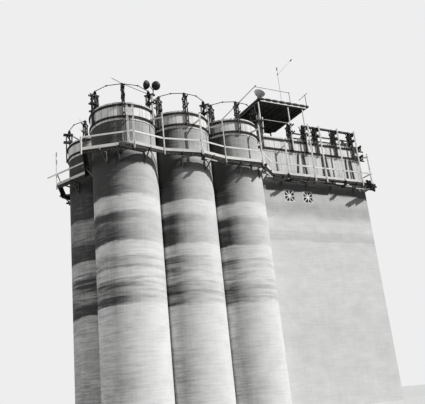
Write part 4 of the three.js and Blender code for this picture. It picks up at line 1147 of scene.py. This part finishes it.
# %% Toe boards, hand boards and hangers
TOE = (0.03, -0.045, 0.205)
HAND = (0.045, 0.965, 1.105)
HANGER = 0.075
HANGER_DROP = 0.42
PACKINGS = (0.5, 1.6, 2.4)
BOLTS = (-0.1, 0.06, 1.05)
OUTRIGGER = 23.4653
HANGER_HEAD = 23.85
YOKE_HANGER_HEAD = 26.1
POST_HEAD = 23.7
HANGER_OUT = 0.012 - HANGER / 2
HANGER_TARGETS = (
    (2, -0.3, "left", 257), (2, 0.15, "left", 268), (3, 0.0, "left", 304),
    (4, 0.0, "middle", 275), (5, 0.0, "middle", 307), (6, 0.0, "right", 289),
)
LOW_HANGER = 10.6
END_HANGERS = (-4.09, -1.75, 1.75, 4.09)
HAND_PAST = 1.3


def outside(i, shift=0.0):
    """A point just outside the edge, at a corner or shifted along a face from it."""
    if shift > 0:
        return on_face(i, shift, HANGER_OUT)
    if shift < 0:
        return on_face(i - 1, step_of(i - 1).length + shift, HANGER_OUT)
    near = corner(i, 0.0)
    return near - (corner(i, -1.0) - near).normalized() * HANGER_OUT


def way_to(start, end):
    return degrees(atan2(end.y - start.y, end.x - start.x))


def hanger(bench, point, way, top):
    """Two boards up to a level, with packing blocks and bolts."""
    out = vec(*lean_of(way))
    foot, head = point - UP * HANGER_DROP, vec(point.x, point.y, top)
    side = UP.cross(out) * 0.046
    for shift in (-side, side):
        lower = UP * between(0.0, 0.08)
        bench.bar(foot + shift + lower, head + shift, HANGER, 0.045, out, tone=about(0.75, 0.2))
    for rise in PACKINGS:
        spot = point + UP * rise
        bench.bar(spot, spot + UP * 0.2, HANGER - 0.01, 0.046, out)
    for rise in BOLTS:
        spot = point + UP * rise
        bench.rod(spot - out * 0.02, spot + out * 0.048, 0.013, 6, finish=1)


def outrigger(bench, start, end):
    """The beam that holds the head of a low hanger."""
    bench.bar(vec(*start, OUTRIGGER), vec(*end, OUTRIGGER), 0.07, 0.14)


def side_posts(posts, side):
    for i, shift, column, way in HANGER_TARGETS:
        point = outside(i if side > 0 else PAIR - i, side * shift)
        x, y = round_cell(column, way, FORM_OUT + 0.02)
        hanger(posts, point, way_to(vec(x, side * y), point), HANGER_HEAD)
        outrigger(posts, (x, side * y), point.xy)
    y, level = side * (EDGE[FACES].y - HANGER / 2 + 0.001), EDGE[FACES].z
    for x in HANGING_YOKES:
        hanger(posts, vec(x, y, level), side * -90, YOKE_HANGER_HEAD)
    hanger(posts, vec(LOW_HANGER, y, level), side * -90, HANGER_HEAD)
    outrigger(posts, (LOW_HANGER, side * (-BLOCK_FACE - BOARD - 0.02)), (LOW_HANGER, y))
    i, top = (1, EDGE[1].z + 1.1) if side > 0 else (-1, POST_HEAD)
    post = outside(i)
    hanger(posts, post, way_to(vec(-SPACING, -side * ROW), post), top)


def end_posts(posts):
    x = EDGE[FACES].x + HANGER / 2 - 0.001
    for y in END_HANGERS:
        hanger(posts, vec(x, y, EDGE[FACES].z), 0, HANGER_HEAD)
    for y in (END_HANGERS[0], END_HANGERS[-1]):
        outrigger(posts, (BLOCK_RIGHT + 0.085, copysign(BLOCK_FACE + 0.085, y)), (x, y))


for row, faces in SIDE_FACES.items():
    boards, posts = Bench(), Bench()
    for face, stop in faces.items():
        for sizes in (TOE, HAND):
            run_board(boards, face, stop, 0.0, *sizes, longest=4.6)
    if row == "right":
        end_posts(posts)
    else:
        side_posts(posts, ROWS[row])
    if row == "back":
        along_face(boards, len(EDGE) - 1, (0.05, -HAND_PAST), 0.0225, 1.0525, 0.045, 0.095)
    node = f"guard_rail_{row}"
    boards.nail_up(f"guard_boards_{row}", node, "new_timber", new_wood)
    posts.nail_up(f"hangers_{row}", node, "new_timber", new_wood, dark_steel)

# %% [markdown]
# Two square openings in the block wall are kept in shape with crossed timbers: a frame, an
# upright, a rail and two diagonals, each a little further out or in than the next.

# %% Crossed timbers in the openings
OPENING = 1.16
OPENING_MID = 18.75
OPENINGS = {"left": 10.85, "right": 12.97}


def crossed_frame(bench, x):
    """The timbers of one opening; each is given from the middle of it."""
    middle = vec(x, -BLOCK_FACE + 0.05, OPENING_MID)
    half = OPENING / 2 - 0.001
    edge, inner, reach = half - 0.035, half - 0.071, half - 0.072

    def stick(start, end, *cut):
        bench.bar(middle + vec(*start), middle + vec(*end), *cut)

    for far in (-edge, edge):
        stick((far, 0, -half), (far, 0, half), 0.07, 0.07, FRONT_BACK)
        stick((-inner, 0, far), (inner, 0, far), 0.07, 0.07)
    stick((0, -0.005, -reach), (0, -0.005, reach), 0.055, 0.095, FRONT_BACK)
    stick((-reach, 0.003, 0), (reach, 0.003, 0), 0.05, 0.095)
    for far, y in ((-reach, 0.001), (reach, -0.011)):
        stick((-far, y, -reach), (far, y, reach), 0.045, 0.095, FRONT_BACK)


for name, x in OPENINGS.items():
    bench = Bench()
    crossed_frame(bench, x)
    bench.nail_up(f"crossed_timbers_{name}", f"opening_bracing_{name}", "new_timber", new_wood)

# %% [markdown]
# A shelter stands over the left half of the block: posts on the yoke heads, beams round the
# top, and a dark boarded roof with a pale board along its front edge.

# %% Shelter
ROOF_LOW = vec(8.38, -4.05, 28.05)
ROOF_HIGH = vec(14.35, 1.95, 28.18)
SHELTER_POSTS = (8.5, 11.9, 13.65)
SHELTER_FRONT = -3.9
SHELTER_BACK = 1.8
POST_TOP = ROOF_LOW.z - 0.2
BEAM_MID = ROOF_LOW.z - 0.1
RAIL_ACROSS = 26.1
LEANING_BOARDS = 7

bench = Bench()
for x in SHELTER_POSTS:
    first = x == SHELTER_POSTS[0]
    low = HEAD_TOP if first else HOOP_LEVELS[0]
    for left in (x - 0.026, x + 0.026):
        foot, head = (left, SHELTER_FRONT, low), (left, SHELTER_FRONT, POST_TOP)
        bench.bar(foot, head, 0.098, 0.046, FRONT_BACK, tone=about(0.8, 0.15))
    back = x + 0.3 if first else x
    foot, head = (back, SHELTER_BACK, ON_DECK), (back, SHELTER_BACK, POST_TOP)
    bench.bar(foot, head, 0.1, 0.1, FRONT_BACK, finish=1)
    tie = (x, SHELTER_FRONT + 0.05, BEAM_MID), (x, SHELTER_BACK - 0.05, BEAM_MID)
    bench.bar(*tie, 0.055, 0.15, finish=1)
for y in (SHELTER_FRONT, SHELTER_BACK):
    beam = (SHELTER_POSTS[0] - 0.05, y, BEAM_MID), (SHELTER_POSTS[2] + 0.05, y, BEAM_MID)
    bench.bar(*beam, 0.1, 0.198, finish=1)
bench.rod(*((x, SHELTER_FRONT, RAIL_ACROSS) for x in SHELTER_POSTS[:2]), 0.028)
for i in range(LEANING_BOARDS):
    x = SHELTER_POSTS[0] - 0.3 + i * 0.09
    spot = vec(x, SHELTER_FRONT + about(0.22, 0.08), ON_DECK)
    lean = vec(about(0.0, 0.1), about(-0.05, 0.05), between(1.7, 3.2))
    bench.bar(spot, spot + lean, 0.03, about(0.13, 0.03), FRONT_BACK, finish=i % 2)
bench.nail_up("shelter_timbers", "shelter_frame", "new_timber", new_wood, roof_wood)

# %% [markdown]
# The roof is dark felt over close boards. Along the front edge the felt is rolled up and tied
# every few hands, which gives the lumpy dark line over the pale board. A short stay at the
# right end carries a raking rod.

# %% Roof of the shelter
ROLL_TIES = 0.8
STAY = vec(14.29, SHELTER_FRONT, 29.58)
FELT_STRIPS = 6
ROOF_BOARD = 0.2
RAFTER_STEP = 0.62


def rolled_edge(bench, start, end, radius):
    """A roll of felt, tied at even steps and slack between the ties."""
    length = (end - start).length
    steps = round(length / 0.1)
    profile = [(0.02, 0.0)]
    for i in range(steps + 1):
        far = length * i / steps
        slack = abs(sin(pi * far / ROLL_TIES)) ** 0.6
        profile.append((radius * (0.5 + 0.5 * slack) * about(1.0, 0.08), far))
    profile.append((0.02, length + 0.001))
    bench.turned(profile, start, end - start, 12, tone=0.4)


bench = Bench()
left, front, low = ROOF_LOW
right, rear, high = ROOF_HIGH
for y in every(ROOF_BOARD, front, rear - 0.02):
    top = min(y + ROOF_BOARD - 0.001, rear)
    level_board(bench, left, right, y, top, low + 0.095, 0.03)
for i in range(FELT_STRIPS):
    x0, x1 = left + i, min(left + i + 1.06, right)
    x, level = (x0 + x1) / 2, high - 0.012 + (i % 2) * 0.006
    bench.bar((x, front + 0.06, level), (x, rear, level), x1 - x0, 0.012)
for x in every(RAFTER_STEP, left + 0.05, right - 0.05):
    bench.bar((x, front + 0.03, low + 0.04), (x, rear - 0.01, low + 0.04), 0.06, 0.078)
board = ((x, front + 0.012, low - 0.01) for x in (left + 0.3, right - 0.35))
bench.bar(*board, 0.024, 0.2, finish=1, tone=0.9)
rolled_edge(bench, *(vec(x, front + 0.03, high + 0.015) for x in (left + 0.02, right - 0.02)), 0.14)
bench.rod((STAY.x, STAY.y, high - 0.05), STAY, 0.028, 8, finish=2)
bench.rod(STAY + vec(-0.88, 0, -0.75), STAY + vec(0.3, 0, 0.256), 0.025, 8, finish=2)
bench.nail_up("shelter_roof_boards", "shelter_roof", "old_timber", roof_wood, new_wood, dark_steel)

# %% [markdown]
# Floodlights are spun bowls on short arms. A turned shape gives the bowl, its rolled rim,
# the lamp inside and the cap behind.

# %% Floodlights
BOWL = [
    (0.0, 0.0), (0.18, 0.014), (0.39, 0.10), (0.60, 0.22), (0.79, 0.46), (0.92, 0.71),
    (0.979, 0.935), (1.0, 0.957), (1.0, 1.0), (0.963, 1.0), (0.908, 0.73), (0.763, 0.5),
    (0.55, 0.28), (0.32, 0.143), (0.0, 0.093),
]
LAMP = [(0.0, 0.02), (0.035, 0.03), (0.04, 0.08), (0.075, 0.14), (0.06, 0.2), (0.0, 0.22)]
CAP = [(0.0, -0.05), (0.05, -0.045), (0.06, 0.0), (0.05, 0.03), (0.0, 0.03)]


def floodlight(bench, joint, arm, way, shade, mouth=0.38, depth=0.28):
    """A bowl with its lamp and cap, on an arm that starts at a joint."""
    way, back = Vector(way).normalized(), joint + Vector(arm)
    bench.turned([(r * mouth, far * depth) for r, far in BOWL], back, way, 32, tone=shade)
    bench.turned(LAMP, back, way, 16, finish=1, tone=0.9)
    bench.turned(CAP, back, way, 16, tone=shade)
    bench.rod(joint, back + way * 0.01, 0.027, tone=shade)
    bench.drum(joint, FRONT_BACK, 0.045, 0.045, tone=shade)


bench = Bench()
foot = vec(*round_cell("left", 312, MID_WALL + 0.45), HEAD_TOP)
joint = foot + UP * 0.33
bench.rod(foot, joint, 0.038)
floodlight(bench, joint, (-0.43, -0.15, 0.33), (-0.35, 0.55, 0.3), 0.2)
floodlight(bench, joint, (0.13, -0.13, 0.4), (0.5, 0.5, 0.3), 0.2)
bench.nail_up("floodlights_pair", "floodlight_pair", "dark_steel", rail_steel, pale_steel, wear=0)

bench = Bench()
foot = vec(SHELTER_POSTS[0] + 0.06, SHELTER_FRONT + 0.06, ROOF_HIGH.z)
joint = foot + UP * 0.26
bench.rod(foot, joint, 0.038)
floodlight(bench, joint, (0.06, -0.09, 0.09), (0.4, -0.1, 0.9), 0.8, 0.54, 0.37)
bench.nail_up("floodlight_over_shelter", "floodlight_single", "pale_steel", pale_steel, pale_steel, wear=0)

# %% [markdown]
# Over the roof stand a thin forked mast with an insulator on each arm, and a raking pole
# that carries a thin rail.

# %% Mast and roof rail
MAST = vec(12.3, -2.6, ROOF_HIGH.z)
FORK = vec(12.3, -2.6, 32.3)
TIP = vec(14.3, -2.6, 34.35)
ARM = (TIP - FORK).normalized()
MAST_FOOT = [(0.15, 0.0), (0.15, 0.03), (0.06, 0.04), (0.05, 0.14)]
RIBS = [
    (0.03, 0.0), (0.06, 0.03), (0.035, 0.07), (0.06, 0.11), (0.035, 0.15), (0.06, 0.19),
    (0.035, 0.23), (0.06, 0.27), (0.03, 0.33), (0.02, 0.36),
]
bench = Bench()
bench.turned(MAST_FOOT, MAST, UP, 12)
bench.rod(MAST + UP * 0.02, FORK + UP * 0.5, 0.027, finish=1)
bench.rod(FORK, TIP, 0.024, finish=1)
bench.turned(RIBS, FORK + UP * 0.46, UP, 14)
bench.turned(RIBS, TIP - ARM * 0.18, ARM, 14)
bench.drum(FORK, FRONT_BACK, 0.05, 0.06)
bench.nail_up("forked_mast_dressed", "forked_mast", "dark_steel", rail_steel, pale_steel, wear=0)

RAIL_LINE = -3.55
RAKE_FOOT = vec(3.56, RAIL_LINE, ON_DECK + 0.06)
RAKE_HEAD = vec(8.75, RAIL_LINE, 29.9)
POLE_FOOT = [(0.11, 0.0), (0.11, 0.02), (0.05, 0.03), (0.045, 0.08)]
bench = Bench()
bench.turned(POLE_FOOT, RAKE_FOOT - UP * 0.06, UP, 12)
bench.rod(RAKE_FOOT, RAKE_HEAD, 0.034)
level = RAKE_HEAD.z - 0.18
end = vec(MAST.x + 0.3, RAIL_LINE, level)
bench.rod((RAKE_HEAD.x - 0.2, RAIL_LINE, level), end, 0.022, 8)
bench.rod((end.x, RAIL_LINE, ROOF_HIGH.z), end + UP * 0.06, 0.025, 8)
for x in (end.x, RAKE_HEAD.x - 0.1):
    bench.drum((x, RAIL_LINE, level), FRONT_BACK, 0.04, 0.05, 10)
bench.nail_up("roof_rail_dressed", "roof_rail", "dark_steel", rail_steel, wear=0)

# %% [markdown]
# The floor is a wide disc that belongs to the stage. One sun stands to the right, high in
# front, as the shadows of the walkway show, and two soft lamps lift the shades. Sky and floor
# are bright to the camera only, so that they do not wash the shades out.

# %% Floor, sky and sun
FLOOR_SEEN = (0.64, 0.64, 0.635, 1.0)
FLOOR_REACH = 140
finish = Finish("studio_floor")
speck = finish.noise(finish.place(), 0.6)
shade = finish.ramp(speck, [(0.3, (0.27, 0.27, 0.267)), (0.7, (0.31, 0.31, 0.307))])
seen = finish.node("ShaderNodeLightPath", {}, {})
finish.feed(finish.blend(shade, FLOOR_SEEN, seen), 0.95)
floor_mesh = bpy.data.meshes.new("studio_floor")
rim = [(FLOOR_REACH * cos(turn), FLOOR_REACH * sin(turn), -0.004) for turn in turns(60)]
floor_mesh.from_pydata(rim, [], [tuple(range(len(rim)))])
floor_mesh.materials.append(finish.material)
floor = bpy.data.objects.new("studio_floor", floor_mesh)
bpy.context.scene.collection.objects.link(floor)


def far_light(name, energy, softness, towards):
    """A lamp so far away that its light is parallel."""
    data = bpy.data.lights.new(name, "SUN")
    data.energy = energy
    data.angle = radians(softness)
    lamp = bpy.data.objects.new(name, data)
    lamp.rotation_mode = "QUATERNION"
    lamp.rotation_quaternion = Vector(towards).to_track_quat("Z", "Y")
    bpy.context.scene.collection.objects.link(lamp)
    return lamp


sun = far_light("sun", 3.1, 1.2, (0.505, -0.561, 0.656))
fill = far_light("fill", 0.85, 50.0, (-0.9, -0.02, 0.3))
back_fill = far_light("back_fill", 0.7, 60.0, (0.15, 0.9, 0.42))

world = bpy.data.worlds.new("pale_sky")
world.use_nodes = True
bpy.context.scene.world = world
tree = world.node_tree
sky = tree.nodes["Background"]
sky.inputs["Color"].default_value = (0.87, 0.87, 0.875, 1)
ray = tree.nodes.new("ShaderNodeLightPath")
strength = tree.nodes.new("ShaderNodeMapRange")
strength.inputs["To Min"].default_value = 0.11
strength.inputs["To Max"].default_value = 0.83
tree.links.new(ray.outputs["Is Camera Ray"], strength.inputs["Value"])
tree.links.new(strength.outputs["Result"], sky.inputs["Strength"])
bpy.context.scene.view_settings.view_transform = "Standard"
bpy.context.scene.view_settings.look = "Medium High Contrast"
print("stage is set")

# %% [markdown]
# The camera stands on the ground in front of the left corner and looks up. Its place and
# turn were worked out from the edges of the cells, and its lens from their lean.

# %% Camera
EYE = vec(-21.53, -45.71, 1.6)
PITCH = radians(18.19)
ROLL = radians(-5.93)
YAW = radians(-29.80)
FOCAL = 600 / 425
SENSOR = 36

ahead = vec(-sin(YAW) * cos(PITCH), cos(YAW) * cos(PITCH), sin(PITCH))
right = vec(cos(YAW), sin(YAW))
over = right.cross(ahead)
turned_right = right * cos(ROLL) + over * sin(ROLL)
turned_up = over * cos(ROLL) - right * sin(ROLL)

camera_data = bpy.data.cameras.new("camera")
camera_data.sensor_fit = "HORIZONTAL"
camera_data.sensor_width = SENSOR
camera_data.lens = SENSOR * FOCAL
camera_data.clip_end = 500
camera = bpy.data.objects.new("camera", camera_data)
axes = Matrix((turned_right, turned_up, -ahead)).transposed()
camera.matrix_world = Matrix.Translation(EYE) @ axes.to_4x4()
bpy.context.scene.collection.objects.link(camera)
bpy.context.scene.camera = camera
print("camera at", tuple(EYE))
